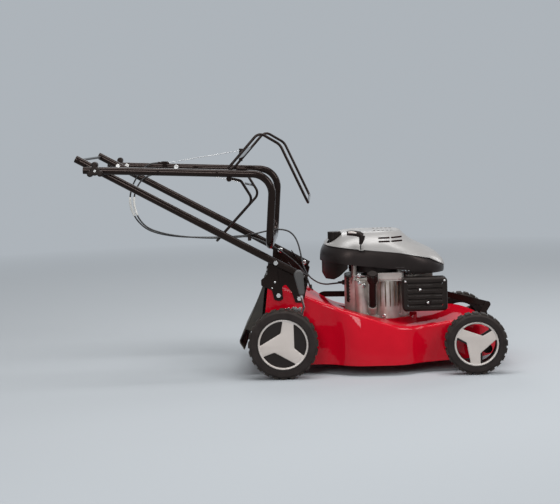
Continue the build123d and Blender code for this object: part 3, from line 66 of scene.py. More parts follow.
# %% [markdown]
# ## Where things are
# A mower is measured from its rear axle, so places here are millimetres from that axle, from the
# middle of the machine and from the ground. The folded handle has its own line, which starts at the
# fold bolt and slopes a few degrees. Blender works in metres, so two helpers turn both kinds of
# place into points of the model.

# %% Places on the mower and beside its folded handle
MM = 0.001
AXLE_X = JOINTS["wheel_rear_right_spin"]["pos_m"][0]
FOLD = Vector(JOINTS["fold"]["pos_m"])
HANDLE_SLOPE = math.radians(3.05)


def place(x, y, z):
    """A point, from millimetres forward of the rear axle, to the left, and up."""
    return Vector((AXLE_X + x * MM, y * MM, z * MM))


def by_handle(along, above, y):
    """A point, from millimetres along the folded handle, above its line, and to the left."""
    forward = along * math.cos(HANDLE_SLOPE) + above * math.sin(HANDLE_SLOPE)
    upward = above * math.cos(HANDLE_SLOPE) - along * math.sin(HANDLE_SLOPE)
    return FOLD + Vector((forward * MM, y * MM, upward * MM))


print("rear axle at X", round(AXLE_X, 4), "and fold bolt at", [round(v, 4) for v in FOLD])

# %% [markdown]
# ## The camera
# The mower is seen square from its right side, from about four metres, with the lens a little above
# the engine. A short lens would make the near wheels too large, so a portrait lens is used. The
# camera is turned by its three angles, which keeps it easy to nudge one of them alone.

# %% Camera at the viewing place
CAMERA_AT = Vector((0.1125, -4.1337, 0.7390))
CAMERA_YAW = -0.036
CAMERA_DROP = 0.094
CAMERA_ROLL = -0.033
CAMERA_LENS = 86.93
SENSOR_WIDTH = 36.0


def show(thing):
    """Puts an object into the scene."""
    bpy.context.scene.collection.objects.link(thing)


def add_camera():
    """Makes the camera from its place, its heading, its drop and its roll."""
    flat = math.cos(CAMERA_DROP)
    ahead = Vector((math.sin(CAMERA_YAW) * flat, math.cos(CAMERA_YAW) * flat, -math.sin(CAMERA_DROP)))
    level = Vector((math.cos(CAMERA_YAW), -math.sin(CAMERA_YAW), 0))
    above = level.cross(ahead)
    right = level * math.cos(CAMERA_ROLL) + above * math.sin(CAMERA_ROLL)
    up = above * math.cos(CAMERA_ROLL) - level * math.sin(CAMERA_ROLL)
    data = bpy.data.cameras.new("camera")
    data.sensor_width = SENSOR_WIDTH
    data.lens = CAMERA_LENS
    camera = bpy.data.objects.new("camera", data)
    turn = Matrix((right, up, -ahead)).transposed().to_4x4()
    camera.matrix_world = Matrix.Translation(CAMERA_AT) @ turn
    show(camera)
    return camera


bpy.context.scene.camera = add_camera()
bpy.context.scene.view_settings.view_transform = "Standard"
print("camera stands", round(-CAMERA_AT.y, 2), "m from the middle of the mower")

# %% [markdown]
# ## Shader helpers
# Every finish below is a small tree of shader nodes. Adding nodes by hand takes four lines each, so
# one helper adds a node, sets its options and fills its inputs, whether an input is a plain value or
# another node's output. A second one starts an effect that several finishes share: a node group.

# %% Add nodes, groups and effects


def add(tree, kind, values=None, **settings):
    """Adds a shader node with its options, and fills its inputs with constants or links."""
    node = tree.nodes.new("ShaderNode" + kind)
    for name, value in settings.items():
        setattr(node, name, value)
    for name, value in (values or {}).items():
        if isinstance(value, bpy.types.NodeSocket):
            tree.links.new(value, node.inputs[name])
        else:
            node.inputs[name].default_value = value
    return node


def maths(tree, operation, first, second=0.0):
    """Adds a maths node and returns its result, kept between 0 and 1."""
    node = add(tree, "Math", {0: first, 1: second}, operation=operation, use_clamp=True)
    return node.outputs[0]


def spread(tree, value, low, high, start=0.0, end=1.0):
    """Maps a value from low..high to start..end."""
    values = {"Value": value, "From Min": low, "From Max": high, "To Min": start, "To Max": end}
    return add(tree, "MapRange", values).outputs[0]


def blend_colour(tree, mask, first, second):
    """Mixes two colours by a mask."""
    node = add(tree, "Mix", {0: mask, 6: first, 7: second}, data_type="RGBA")
    return node.outputs[2]


def object_place(tree):
    """The place on the surface, in the mower's own frame."""
    return add(tree, "TexCoord").outputs["Object"]


def start_group(name, inputs, outputs):
    """Starts a node group with named number inputs and typed outputs."""
    tree = bpy.data.node_groups.new(name, "ShaderNodeTree")
    for label, value in inputs.items():
        socket = tree.interface.new_socket(label, in_out="INPUT", socket_type="NodeSocketFloat")
        socket.default_value = value
    for label, kind in outputs.items():
        tree.interface.new_socket(label, in_out="OUTPUT", socket_type="NodeSocket" + kind)
    begin = tree.nodes.new("NodeGroupInput")
    end = tree.nodes.new("NodeGroupOutput")
    return tree, begin.outputs, end.inputs


def effect(tree, group, **values):
    """Places a node group in a material with its own values and returns its outputs."""
    node = tree.nodes.new("ShaderNodeGroup")
    node.node_tree = group
    for name, value in values.items():
        node.inputs[name].default_value = value
    return node.outputs


print("shader helpers are ready")

# %% [markdown]
# ## Effects that several finishes share
# Pressed, moulded and cast parts have no knife edges, and light catches their small roundings. The
# Bevel node finds those edges while rendering, so no mesh has to be cut finer. The same node tells
# where an edge is, which is where paint rubs thin, and on the muffler guard where a lighter edge colour
# paints the highlight along its louvres. Handling, grain, brushing and dust are noises at the scale of
# the real thing: a thumb mark is some centimetres, a moulded grain a millimetre.

# %% Soft edges, and rubbed edges that also carry a painted highlight on the guard
BEVEL_SAMPLES = 6
FLAT_COSINE = 0.995
EDGE_COSINE = 0.90
WEAR_AND_HIGHLIGHT_SPAN = (0.42, 0.62)


def make_edge_group():
    """Normal: the surface with rounded edges. Mask: patches along the edges, as strong as Rub says: wear,
    and on the guard also a painted highlight.
    """
    outputs = {"Normal": "Vector", "Mask": "Float"}
    tree, ins, outs = start_group("soft_edges", {"Width": 0.001, "Rub": 0.5}, outputs)
    bevel = add(tree, "Bevel", {"Radius": ins["Width"]}, samples=BEVEL_SAMPLES)
    flat = add(tree, "NewGeometry").outputs["Normal"]
    dot = add(tree, "VectorMath", {0: bevel.outputs[0], 1: flat}, operation="DOT_PRODUCT")
    edge = spread(tree, dot.outputs["Value"], FLAT_COSINE, EDGE_COSINE)
    where = object_place(tree)
    patches = add(tree, "TexNoise", {"Vector": where, "Scale": 45.0, "Detail": 4.0}).outputs[0]
    wear_and_highlight_patches = spread(tree, patches, *WEAR_AND_HIGHLIGHT_SPAN)
    edge_wear_and_highlight = maths(tree, "MULTIPLY", edge, wear_and_highlight_patches)
    tree.links.new(bevel.outputs[0], outs["Normal"])
    tree.links.new(maths(tree, "MULTIPLY", edge_wear_and_highlight, ins["Rub"]), outs["Mask"])
    return tree


SOFT_EDGES = make_edge_group()
print("made", SOFT_EDGES.name)

# %% Handling marks, grain, brushing, and dust that also paints light on the flap
CLOUD_SPAN = (0.3, 0.7)
PEBBLE_SPAN = (0.1, 0.4)
LINE_SPAN = (0.35, 0.65)
CLUMP_SPAN = (0.4, 0.7)
FACING_SPAN = (-0.3, 1.0)
LEAST_DUST = 0.35


def make_handling_group():
    """Tone: slow changes over the surface, as hands and cloths leave them. Height: the same, as waves."""
    outputs = {"Height": "Float", "Tone": "Float"}
    tree, ins, outs = start_group("handling", {"Scale": 9.0}, outputs)
    where = object_place(tree)
    noise = {"Vector": where, "Scale": ins["Scale"], "Detail": 5.0, "Roughness": 0.55}
    cloud = add(tree, "TexNoise", noise).outputs[0]
    tree.links.new(cloud, outs["Height"])
    tree.links.new(spread(tree, cloud, *CLOUD_SPAN), outs["Tone"])
    return tree


def make_grain_group():
    """Height: pebbled moulding grain. Tone: the same grain as a mask."""
    outputs = {"Height": "Float", "Tone": "Float"}
    tree, ins, outs = start_group("moulded_grain", {"Scale": 900.0}, outputs)
    where = object_place(tree)
    cells = add(tree, "TexVoronoi", {"Vector": where, "Scale": ins["Scale"]}, feature="SMOOTH_F1")
    noise = add(tree, "TexNoise", {"Vector": where, "Scale": ins["Scale"], "Detail": 2.0})
    both = maths(tree, "MULTIPLY", cells.outputs["Distance"], noise.outputs[0])
    tree.links.new(both, outs["Height"])
    tree.links.new(spread(tree, both, *PEBBLE_SPAN), outs["Tone"])
    return tree


def make_brushed_group():
    """Height and Tone: fine lines drawn out along X, as a wheel or a drawing die leaves them."""
    outputs = {"Height": "Float", "Tone": "Float"}
    tree, ins, outs = start_group("drawn_lines", {"Scale": 500.0, "Length": 0.03}, outputs)
    where = object_place(tree)
    ratio = add(tree, "CombineXYZ", {"X": ins["Length"], "Y": 1.0, "Z": 1.0}).outputs[0]
    drawn = add(tree, "VectorMath", {0: where, 1: ratio}, operation="MULTIPLY").outputs[0]
    lines = add(tree, "TexNoise", {"Vector": drawn, "Scale": ins["Scale"], "Detail": 3.0}).outputs[0]
    tree.links.new(lines, outs["Height"])
    tree.links.new(spread(tree, lines, *LINE_SPAN), outs["Tone"])
    return tree


def make_dust_and_light_group():
    """Mask: dry dust that thins out with height above the ground, heavier on faces that look up; laid on
    thickly it also paints the flap lighter towards the bottom.
    """
    tree, ins, outs = start_group("settled_dust_and_light", {"Reach": 0.2, "Amount": 0.3}, {"Mask": "Float"})
    where = object_place(tree)
    height = add(tree, "SeparateXYZ", {0: where}).outputs["Z"]
    low = spread(tree, height, ins["Reach"], 0.0)
    facing = add(tree, "SeparateXYZ", {0: add(tree, "NewGeometry").outputs["Normal"]}).outputs["Z"]
    upward = spread(tree, facing, *FACING_SPAN, LEAST_DUST, 1.0)
    noise = {"Vector": where, "Scale": 28.0, "Detail": 7.0, "Roughness": 0.62}
    clumps = spread(tree, add(tree, "TexNoise", noise).outputs[0], *CLUMP_SPAN)
    dust_and_light_mask = maths(tree, "MULTIPLY", maths(tree, "MULTIPLY", low, upward), clumps)
    tree.links.new(maths(tree, "MULTIPLY", dust_and_light_mask, ins["Amount"]), outs["Mask"])
    return tree


HANDLING = make_handling_group()
GRAIN = make_grain_group()
DRAWN = make_brushed_group()
DUST_AND_LIGHT = make_dust_and_light_group()
print("made", HANDLING.name, GRAIN.name, DRAWN.name, DUST_AND_LIGHT.name)

# %% [markdown]
# ## How a finish is put together
# All the finishes are one Principled shader: a colour that drifts a little, a roughness that drifts
# with it, a fine bump, and rounded edges. What differs is how much of each. One helper lays that
# out, and each material below is a call with the values of the real coating or metal. Black paint and
# black plastic reflect a little warmer than white, which keeps them from looking blue.

# %% One helper for all finishes
DUST_AND_LIGHT_COLOUR = (0.16, 0.135, 0.10)
NEUTRAL = (1.0, 1.0, 1.0)
WARM = (1.0, 0.80, 0.74)


def opaque(colour):
    """A colour with full alpha."""
    return (*colour, 1.0)


def start_finish(name, metallic=0.0, coat=0.0, coat_rough=0.05, specular=0.5, tint=NEUTRAL):
    """Starts a material with a Principled shader and its constants."""
    material = bpy.data.materials.new(name)
    material.use_nodes = True
    tree = material.node_tree
    shader = tree.nodes["Principled BSDF"]
    shader.inputs["Metallic"].default_value = metallic
    shader.inputs["Coat Weight"].default_value = coat
    shader.inputs["Coat Roughness"].default_value = coat_rough
    shader.inputs["Specular IOR Level"].default_value = specular
    shader.inputs["Specular Tint"].default_value = opaque(tint)
    return material, tree, shader


def bump(tree, shader, height, depth, normal):
    """Feeds the shader's Normal with a bump of the given depth in metres over a normal."""
    values = {"Height": height, "Distance": depth, "Strength": 1.0, "Normal": normal}
    node = add(tree, "Bump", values)
    tree.links.new(node.outputs[0], shader.inputs["Normal"])


def finish(name, dark, light, rough, edge=0.001, edge_wear_and_highlight_amount=0.0, edge_wear_and_highlight=None, grain=None, dust=0.0,
           reach=0.2, patch=9.0, **constants):
    """A finish: two close colours, a roughness range, rounded edges, a grain and a little dust. On the
    guard the edge colour also paints a highlight, and on the flap the dust also paints a lighter lower
    part.
    """
    material, tree, shader = start_finish(name, **constants)
    tone = effect(tree, HANDLING, Scale=patch)["Tone"]
    edges = effect(tree, SOFT_EDGES, Width=edge, Rub=edge_wear_and_highlight_amount)
    colour = blend_colour(tree, tone, opaque(dark), opaque(light))
    if edge_wear_and_highlight:
        colour = blend_colour(tree, edges["Mask"], colour, opaque(edge_wear_and_highlight))
    roughness = spread(tree, tone, 0.0, 1.0, *rough)
    if dust:
        dust_and_light_mask = effect(tree, DUST_AND_LIGHT, Amount=dust, Reach=reach)["Mask"]
        colour = blend_colour(tree, dust_and_light_mask, colour, opaque(DUST_AND_LIGHT_COLOUR))
        roughness = maths(tree, "ADD", roughness, dust_and_light_mask)
    tree.links.new(colour, shader.inputs["Base Color"])
    tree.links.new(roughness, shader.inputs["Roughness"])
    if grain:
        kind, scale, depth = grain
        bump(tree, shader, effect(tree, kind, Scale=scale)["Height"], depth, edges["Normal"])
    else:
        tree.links.new(edges["Normal"], shader.inputs["Normal"])
    return material


print("one helper serves all finishes")

# %% [markdown]
# ## Paints and metals
# The deck is pressed steel under a gloss red coat, so its shader has a clear coat layer over the red
# and the faint ripple that sprayed paint dries to. The handle is powder coated: black, satin and very
# slightly pebbled, and so are the front axle, the height link and the blade. Fasteners and the rear
# axle are zinc plated, the engine block is cast alloy, and shafts and pulleys are ground bright.

# %% Paints and metals
PAINT_RED = finish("gloss_red_paint", (0.48, 0.0010, 0.012), (0.55, 0.0026, 0.0155), (0.22, 0.32),
                   edge=0.003, edge_wear_and_highlight_amount=0.25, edge_wear_and_highlight=(0.60, 0.04, 0.04), grain=(HANDLING, 240.0, 0.00006),
                   dust=0.15, reach=0.07, coat=0.5, coat_rough=0.03, specular=0.0)
POWDER_BLACK = finish("powder_black", (0.008, 0.0052, 0.0044), (0.013, 0.0085, 0.0072), (0.09, 0.14),
                      edge=0.0008, edge_wear_and_highlight_amount=0.35, edge_wear_and_highlight=(0.06, 0.054, 0.05), grain=(GRAIN, 1400.0, 0.00001),
                      specular=0.18, tint=WARM)
# The guard's edge colour is lighter and stronger than wear alone: it is partly wear and partly a painted
# highlight along the louvres.
GUARD_BLACK = finish("guard_black", (0.010, 0.0085, 0.0078), (0.017, 0.0145, 0.0132), (0.32, 0.45),
                     edge=0.0016, edge_wear_and_highlight_amount=0.9, edge_wear_and_highlight=(0.09, 0.086, 0.082), grain=(GRAIN, 900.0, 0.00006),
                     specular=0.18, tint=WARM)
ZINC = finish("zinc_plate", (0.58, 0.57, 0.55), (0.72, 0.71, 0.69), (0.2, 0.34), edge=0.0005,
              grain=(DRAWN, 900.0, 0.00003), patch=40.0, metallic=1.0)
GROUND_STEEL = finish("ground_steel", (0.42, 0.42, 0.42), (0.58, 0.57, 0.56), (0.24, 0.42), edge=0.0005,
                      edge_wear_and_highlight_amount=0.6, edge_wear_and_highlight=(0.8, 0.8, 0.8), grain=(DRAWN, 700.0, 0.00005), metallic=1.0)
CAST_ALLOY = finish("cast_alloy", (0.34, 0.29, 0.25), (0.60, 0.575, 0.54), (0.30, 0.52), edge=0.0012,
                    edge_wear_and_highlight_amount=0.5, edge_wear_and_highlight=(0.75, 0.74, 0.72), grain=(GRAIN, 420.0, 0.0002), patch=22.0,
                    metallic=0.55)
IRON = finish("cast_iron", (0.10, 0.095, 0.09), (0.17, 0.16, 0.15), (0.5, 0.7), edge=0.001,
              edge_wear_and_highlight_amount=0.5, edge_wear_and_highlight=(0.4, 0.39, 0.38), grain=(GRAIN, 500.0, 0.0002), metallic=0.8)
HEAT_STEEL = finish("heat_browned_steel", (0.13, 0.085, 0.055), (0.33, 0.26, 0.20), (0.3, 0.55),
                    edge=0.001, edge_wear_and_highlight_amount=0.4, edge_wear_and_highlight=(0.5, 0.45, 0.4), patch=26.0, metallic=0.9)
print("paints and metals:", PAINT_RED.name, POWDER_BLACK.name, ZINC.name)

# %% [markdown]
# ## Plastics and rubbers
# The cowl is moulded in two colours: a silver top and a charcoal band. Both are slightly glossy on
# the outside, with the fine grain of the mould. Knobs, the tank and the filler are black mouldings.
# Rubber is rougher and never quite black, because it picks up dust. The flap's heavy dust is partly painted
# light, which makes it lighter towards the bottom.

# %% Plastics and rubbers
SILVER_MOULDING = finish("silver_moulding", (0.29, 0.278, 0.269), (0.333, 0.321, 0.31), (0.30, 0.42),
                         edge=0.002, grain=(GRAIN, 1600.0, 0.00004), metallic=0.15, coat=0.15,
                         coat_rough=0.2)
CHARCOAL_MOULDING = finish("charcoal_moulding", (0.011, 0.0092, 0.009), (0.018, 0.0152, 0.015),
                           (0.30, 0.42), edge=0.0018, edge_wear_and_highlight_amount=0.8, edge_wear_and_highlight=(0.06, 0.057, 0.057),
                           grain=(GRAIN, 1100.0, 0.00006), specular=0.22, tint=WARM)
BLACK_MOULDING = finish("black_moulding", (0.009, 0.0072, 0.0066), (0.015, 0.0122, 0.0112), (0.30, 0.44),
                        edge=0.0012, edge_wear_and_highlight_amount=0.5, edge_wear_and_highlight=(0.04, 0.038, 0.037), grain=(GRAIN, 1000.0, 0.00006),
                        specular=0.2, tint=WARM)
GREY_GRIP = finish("grey_grip", (0.045, 0.043, 0.042), (0.065, 0.062, 0.060), (0.4, 0.55), edge=0.0015,
                   edge_wear_and_highlight_amount=0.6, edge_wear_and_highlight=(0.12, 0.12, 0.12), grain=(GRAIN, 800.0, 0.00012))
HUB_GREY = finish("hub_grey", (0.53, 0.475, 0.44), (0.60, 0.54, 0.50), (0.28, 0.40), edge=0.004,
                  edge_wear_and_highlight_amount=0.5, edge_wear_and_highlight=(0.68, 0.67, 0.66), grain=(GRAIN, 1500.0, 0.00004), dust=0.15,
                  reach=0.2, metallic=0.1)
SOFT_RUBBER = finish("soft_rubber", (0.016, 0.015, 0.014), (0.03, 0.028, 0.026), (0.55, 0.75), edge=0.0012,
                     grain=(GRAIN, 700.0, 0.00012), dust=0.25, reach=0.3, specular=0.35)
# The flap's heavy dust is partly real dust and partly painted light that makes its lower part lighter.
FLAP_RUBBER = finish("flap_rubber", (0.022, 0.02, 0.0172), (0.042, 0.038, 0.033), (0.45, 0.65), edge=0.0012,
                     grain=(GRAIN, 700.0, 0.00012), dust=2.5, reach=0.2, specular=0.3)
SHEATH = finish("cable_sheath", (0.008, 0.0075, 0.0075), (0.015, 0.014, 0.014), (0.35, 0.5), edge=0.0004,
                grain=(GRAIN, 1500.0, 0.00005), patch=30.0)
# The sleeves' white is partly the sleeves' own colour and partly a painted highlight along the cables.
SLEEVE_WHITE_AND_HIGHLIGHT = finish("sleeve_white_and_highlight", (0.62, 0.61, 0.58), (0.72, 0.71, 0.68), (0.3, 0.45), edge=0.0004,
                      grain=(HANDLING, 160.0, 0.0001), patch=60.0)
CERAMIC = finish("glazed_white", (0.72, 0.71, 0.68), (0.8, 0.79, 0.76), (0.1, 0.2), edge=0.0005, patch=60.0)
print("plastics and rubbers:", SILVER_MOULDING.name, CHARCOAL_MOULDING.name, HUB_GREY.name)

# %% [markdown]
# ## Tyres
# A mower wheel is one moulding with the tread shrunk on. The node holds both, so one material tells
# them apart by the distance from the axle: rubber outside, black plastic inside. The tread picks up
# soil, so a dry tint comes in towards its outer edge.

# %% A material that changes with the distance from the axle
RIM_SHARE = 0.76
RIM_BLUR = 0.001
TREAD_SHARE = 0.9
SOIL_SHARE = 0.35
RIM_BLACK = (0.010, 0.0095, 0.0095)
RUBBER_DARK = (0.011, 0.0092, 0.0088)
RUBBER_LIGHT = (0.021, 0.0178, 0.0168)
RUBBED_RUBBER = (0.055, 0.053, 0.05)
TREAD_SOIL = (0.075, 0.065, 0.052)
RIM_ROUGH = 0.42
RUBBER_ROUGH = 0.68
RUBBER_GRAIN = 0.00025


def tyre_finish(name, joint):
    """Rubber beyond a share of the wheel's radius, and black moulded plastic inside it."""
    hub = Vector(JOINTS[joint]["pos_m"])
    material, tree, shader = start_finish(name, specular=0.28, tint=WARM)
    where = object_place(tree)
    flat = add(tree, "VectorMath", {0: where, 1: (1.0, 0.0, 1.0)}, operation="MULTIPLY").outputs[0]
    from_hub = add(tree, "VectorMath", {0: flat, 1: (hub.x, 0.0, hub.z)}, operation="DISTANCE")
    out = from_hub.outputs["Value"]
    rubber = spread(tree, out, hub.z * RIM_SHARE, hub.z * RIM_SHARE + RIM_BLUR)
    tread = spread(tree, out, hub.z * TREAD_SHARE, hub.z)
    tone = effect(tree, HANDLING, Scale=35.0)["Tone"]
    edges = effect(tree, SOFT_EDGES, Width=0.0015, Rub=0.7)
    base = blend_colour(tree, tone, opaque(RUBBER_DARK), opaque(RUBBER_LIGHT))
    black = blend_colour(tree, rubber, opaque(RIM_BLACK), base)
    soil = maths(tree, "MULTIPLY", maths(tree, "MULTIPLY", tread, tone), SOIL_SHARE)
    colour = blend_colour(tree, soil, black, opaque(TREAD_SOIL))
    colour = blend_colour(tree, edges["Mask"], colour, opaque(RUBBED_RUBBER))
    tree.links.new(colour, shader.inputs["Base Color"])
    roughness = spread(tree, rubber, 0.0, 1.0, RIM_ROUGH, RUBBER_ROUGH)
    tree.links.new(roughness, shader.inputs["Roughness"])
    bump(tree, shader, effect(tree, GRAIN, Scale=650.0)["Height"], RUBBER_GRAIN, edges["Normal"])
    return material


REAR_TYRE = tyre_finish("rear_tyre", "wheel_rear_right_spin")
FRONT_TYRE = tyre_finish("front_tyre", "wheel_front_right_spin")
print("tyres:", REAR_TYRE.name, FRONT_TYRE.name)

# %% [markdown]
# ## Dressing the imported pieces
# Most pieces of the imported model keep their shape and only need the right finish. The list reads like
# a parts list, finish by finish. A few pieces, such as the cables, are drawn again further down.

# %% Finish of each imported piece
SIDES = ("right", "left")
DRESS = {
    PAINT_RED: ["deck_shell"],
    POWDER_BLACK: ["handle_bracket_right", "handle_bracket_left", "lower_tube_right", "lower_tube_left",
                   "upper_handle", "brake_bail", "drive_bail", "rear_axle_brackets", "cable_anchors",
                   "cutting_blade", "height_link", "front_axle", "handle_cross_rod", "flap_hinge_rod"],
    GUARD_BLACK: ["muffler_guard"],
    ZINC: ["frame_bolts", "rear_axle", "height_quadrant", "brake_inner_wire", "blade_bolt"],
    GROUND_STEEL: ["crankshaft", "drive_shaft", "blade_adapter", "engine_pulley", "gearbox_pulley",
                   "drive_pinion_right", "drive_pinion_left"],
    CAST_ALLOY: ["engine_block", "cylinder_head", "carburettor", "gearbox"],
    IRON: ["flywheel"],
    HEAT_STEEL: ["muffler"],
    SILVER_MOULDING: ["top_cover"],
    CHARCOAL_MOULDING: ["blower_housing", "air_filter_box"],
    BLACK_MOULDING: ["fuel_tank", "fuel_cap", "oil_filler_tube", "oil_dipstick", "fold_knob_right",
                     "fold_knob_left", "starter_grip", "cable_clips"],
    GREY_GRIP: ["height_grip"],
    FLAP_RUBBER: ["rear_flap"],
    SOFT_RUBBER: ["drive_belt"],
    HUB_GREY: [f"hub_cap_{end}_{side}" for end in ("rear", "front") for side in SIDES],
    REAR_TYRE: ["wheel_rear_right", "wheel_rear_left"],
    FRONT_TYRE: ["wheel_front_right", "wheel_front_left"],
    SHEATH: ["brake_cable", "drive_cable", "starter_rope"],
    CERAMIC: ["spark_plug"],
}


def dress(node, material):
    """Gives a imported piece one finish."""
    slots = frame["nodes"][node].data.materials
    slots.clear()
    slots.append(material)


for material, names in DRESS.items():
    for name in names:
        dress(name, material)
dressed = sum(len(names) for names in DRESS.values())
print("dressed", dressed, "of", len(frame["nodes"]), "pieces")

# %% [markdown]
# ## Mesh helpers
# Screw heads, sleeves, ribs and wires all come down to three forms: a profile turned round an axis,
# a round section swept along a line, and a flat outline with a thickness. One helper makes each of
# them in a bmesh, and a last one turns the bmesh into an object that rides on a body of the mower.

# %% Turned, swept and cut forms


def join_rings(shape, rings):
    """Joins rings of vertices into a closed skin. A ring of one vertex is a tip."""
    for first, second in zip(rings, rings[1:]):
        for i in range(max(len(first), len(second))):
            corners = [first[i % len(first)], first[(i + 1) % len(first)],
                       second[(i + 1) % len(second)], second[i % len(second)]]
            corners = list(dict.fromkeys(corners))
            if len(corners) > 2:
                shape.faces.new(corners)


def ring(shape, centre, across, up, radius, sides):
    """A ring of new vertices, or a single one where the radius is nothing."""
    if radius == 0:
        return [shape.verts.new(centre)]
    turns = [math.tau * i / sides for i in range(sides)]
    return [shape.verts.new(centre + (across * math.cos(t) + up * math.sin(t)) * radius) for t in turns]


def turned(shape, profile, at, axis, sides=28):
    """Adds a turned form, from pairs of radius and distance along the axis in millimetres."""
    axis = axis.normalized()
    across = axis.orthogonal().normalized()
    up = axis.cross(across)
    rings = [ring(shape, at + axis * along * MM, across, up, r * MM, sides) for r, along in profile]
    join_rings(shape, rings)


def swept(shape, line, radius, sides=14, flat=1.0):
    """Adds a round section swept along points, with tapering if the radius is a list, in millimetres."""
    sizes = radius if isinstance(radius, list) else [radius] * len(line)
    across = (line[1] - line[0]).orthogonal().normalized()
    rings = [[shape.verts.new(line[0])]]
    for i, point in enumerate(line):
        ahead = (line[min(i + 1, len(line) - 1)] - line[max(i - 1, 0)]).normalized()
        across = (across - ahead * across.dot(ahead)).normalized()
        rings.append(ring(shape, point, across, ahead.cross(across) * flat, sizes[i] * MM, sides))
    join_rings(shape, rings + [[shape.verts.new(line[-1])]])


def cut_plate(shape, outline, thick):
    """Adds a plate from an outline of points, thickened by a vector."""
    near = [shape.verts.new(p) for p in outline]
    far = [shape.verts.new(p + thick) for p in outline]
    shape.faces.new(near)
    shape.faces.new(far[::-1])
    join_rings(shape, [near, far])


def keep(name, shape, material, body=None, crease=32.0):
    """Turns a bmesh into an object with a finish. With a body, it rides on it."""
    bmesh.ops.recalc_face_normals(shape, faces=shape.faces[:])
    mesh = bpy.data.meshes.new(name)
    shape.to_mesh(mesh)
    shape.free()
    mesh.materials.append(material)
    mesh.shade_smooth()
    mesh.set_sharp_from_angle(angle=math.radians(crease))
    piece = bpy.data.objects.new(name, mesh)
    show(piece)
    if body:
        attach(piece, body)
    return piece


print("mesh helpers are ready")

# %% [markdown]
# ## Control cables
# A control cable is a springy sheath round a wire, so between its clips it hangs in one even curve. A
# NURBS line drawn from a few chosen places is just such a curve, and a round section swept along it
# gives the sheath. The sheath crosses the handle's fold.

# %% The smooth line of a cable


def mesh_of(curve):
    """The mesh of a curve, in a bmesh. The curve itself is used up."""
    holder = bpy.data.objects.new(curve.name, curve)
    mesh = bpy.data.meshes.new_from_object(holder)
    shape = bmesh.new()
    shape.from_mesh(mesh)
    bpy.data.objects.remove(holder)
    bpy.data.meshes.remove(mesh)
    bpy.data.curves.remove(curve)
    return shape


def smooth_line(name, route, steps=12):
    """Points along the NURBS line that has the route's places as its control points."""
    curve = bpy.data.curves.new(name, "CURVE")
    curve.dimensions = "3D"
    curve.resolution_u = steps
    spline = curve.splines.new("NURBS")
    spline.points.add(len(route) - 1)
    for point, at in zip(spline.points, route):
        point.co = (*at, 1.0)
    spline.order_u = 3
    spline.use_endpoint_u = True
    shape = mesh_of(curve)
    line = [vertex.co.copy() for vertex in shape.verts]
    shape.free()
    return line


def line_length(line):
    """The length of a line of points, in metres."""
    return sum((b - a).length for a, b in zip(line, line[1:]))


BRAKE_ROUTE = [by_handle(143, 13, 196), by_handle(105, 13, 196)] + [place(*at) for at in (
    (-447, 192, 613), (-470, 186.5, 583), (-487, 184, 548), (-494, 184, 505), (-481, 185, 459),
    (-449, 186, 421), (-405, 186, 402), (-345, 186, 391), (-285, 186, 387), (-225, 186, 385),
    (-165, 186, 386), (-112, 186, 388.5), (-66, 185, 399), (-26, 184, 406), (8, 183, 402),
    (29, 181, 387), (42, 178, 363), (50, 170, 330), (56, 148, 294), (72, 105, 262), (102, 55, 245),
    (127, 8, 244), (150, -36, 251), (185, -36, 254))]
DRIVE_ROUTE = [by_handle(242, -17, 203), by_handle(190, -17, 203), by_handle(130, -20, 192)] + [
    place(*at) for at in (
        (-443, 180, 586), (-467, 176, 556), (-480, 175, 515), (-473, 175, 466), (-445, 176, 426),
        (-402, 177, 407), (-345, 177, 394), (-285, 177, 387), (-225, 177, 383), (-165, 177, 383),
        (-112, 177, 387), (-66, 176, 367), (-22, 175, 343), (14, 173, 316), (44, 167, 289),
        (63, 158, 263), (74, 150, 236), (80, 150, 208))]
BRAKE_LINE = smooth_line("brake_line", BRAKE_ROUTE)
DRIVE_LINE = smooth_line("drive_line", DRIVE_ROUTE)
print("brake cable", round(line_length(BRAKE_LINE), 3), "m")
print("drive cable", round(line_length(DRIVE_LINE), 3), "m")

# %% Sheaths, and their white sleeves that also paint the cables' highlight
SHEATH_R = 2.5
SLEEVE_R = 3.8
SLEEVE_LOW = 461.0
SLEEVE_HIGH = 524.0
FOLD_START = place(-345, 181, 412)


def bend_with_fold(piece):
    """Bakes a piece's placement into its mesh."""
    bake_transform(piece)


def add_sheath(name, line, node):
    """The black sheath that stands for a cable node."""
    shape = bmesh.new()
    swept(shape, line, SHEATH_R)
    piece = keep(name, shape, SHEATH)
    bend_with_fold(piece)
    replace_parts(piece, node)


def add_sleeve(name, line):
    """A white sleeve on the stretch where a cable hangs free beside the fold; its white also paints the
    cable's thin highlight there.
    """
    span = [p for p in line if SLEEVE_LOW < p.z / MM < SLEEVE_HIGH and p.x < FOLD_START.x]
    shape = bmesh.new()
    sizes = [SHEATH_R] + [SLEEVE_R] * (len(span) - 2) + [SHEATH_R]
    swept(shape, span, sizes)
    bend_with_fold(keep(name, shape, SLEEVE_WHITE_AND_HIGHLIGHT))


add_sheath("brake_sheath", BRAKE_LINE, "brake_cable")
add_sheath("drive_sheath", DRIVE_LINE, "drive_cable")
add_sleeve("brake_sleeve", BRAKE_LINE)
add_sleeve("drive_sleeve", DRIVE_LINE)

# %% [markdown]
# ## Cable ends, wires and the starter rope
# At the handle each sheath stops in an adjuster, a threaded barrel with a nut either side of its
# anchor, and the bare wire runs on to its bail. The starter rope is three strands laid together.

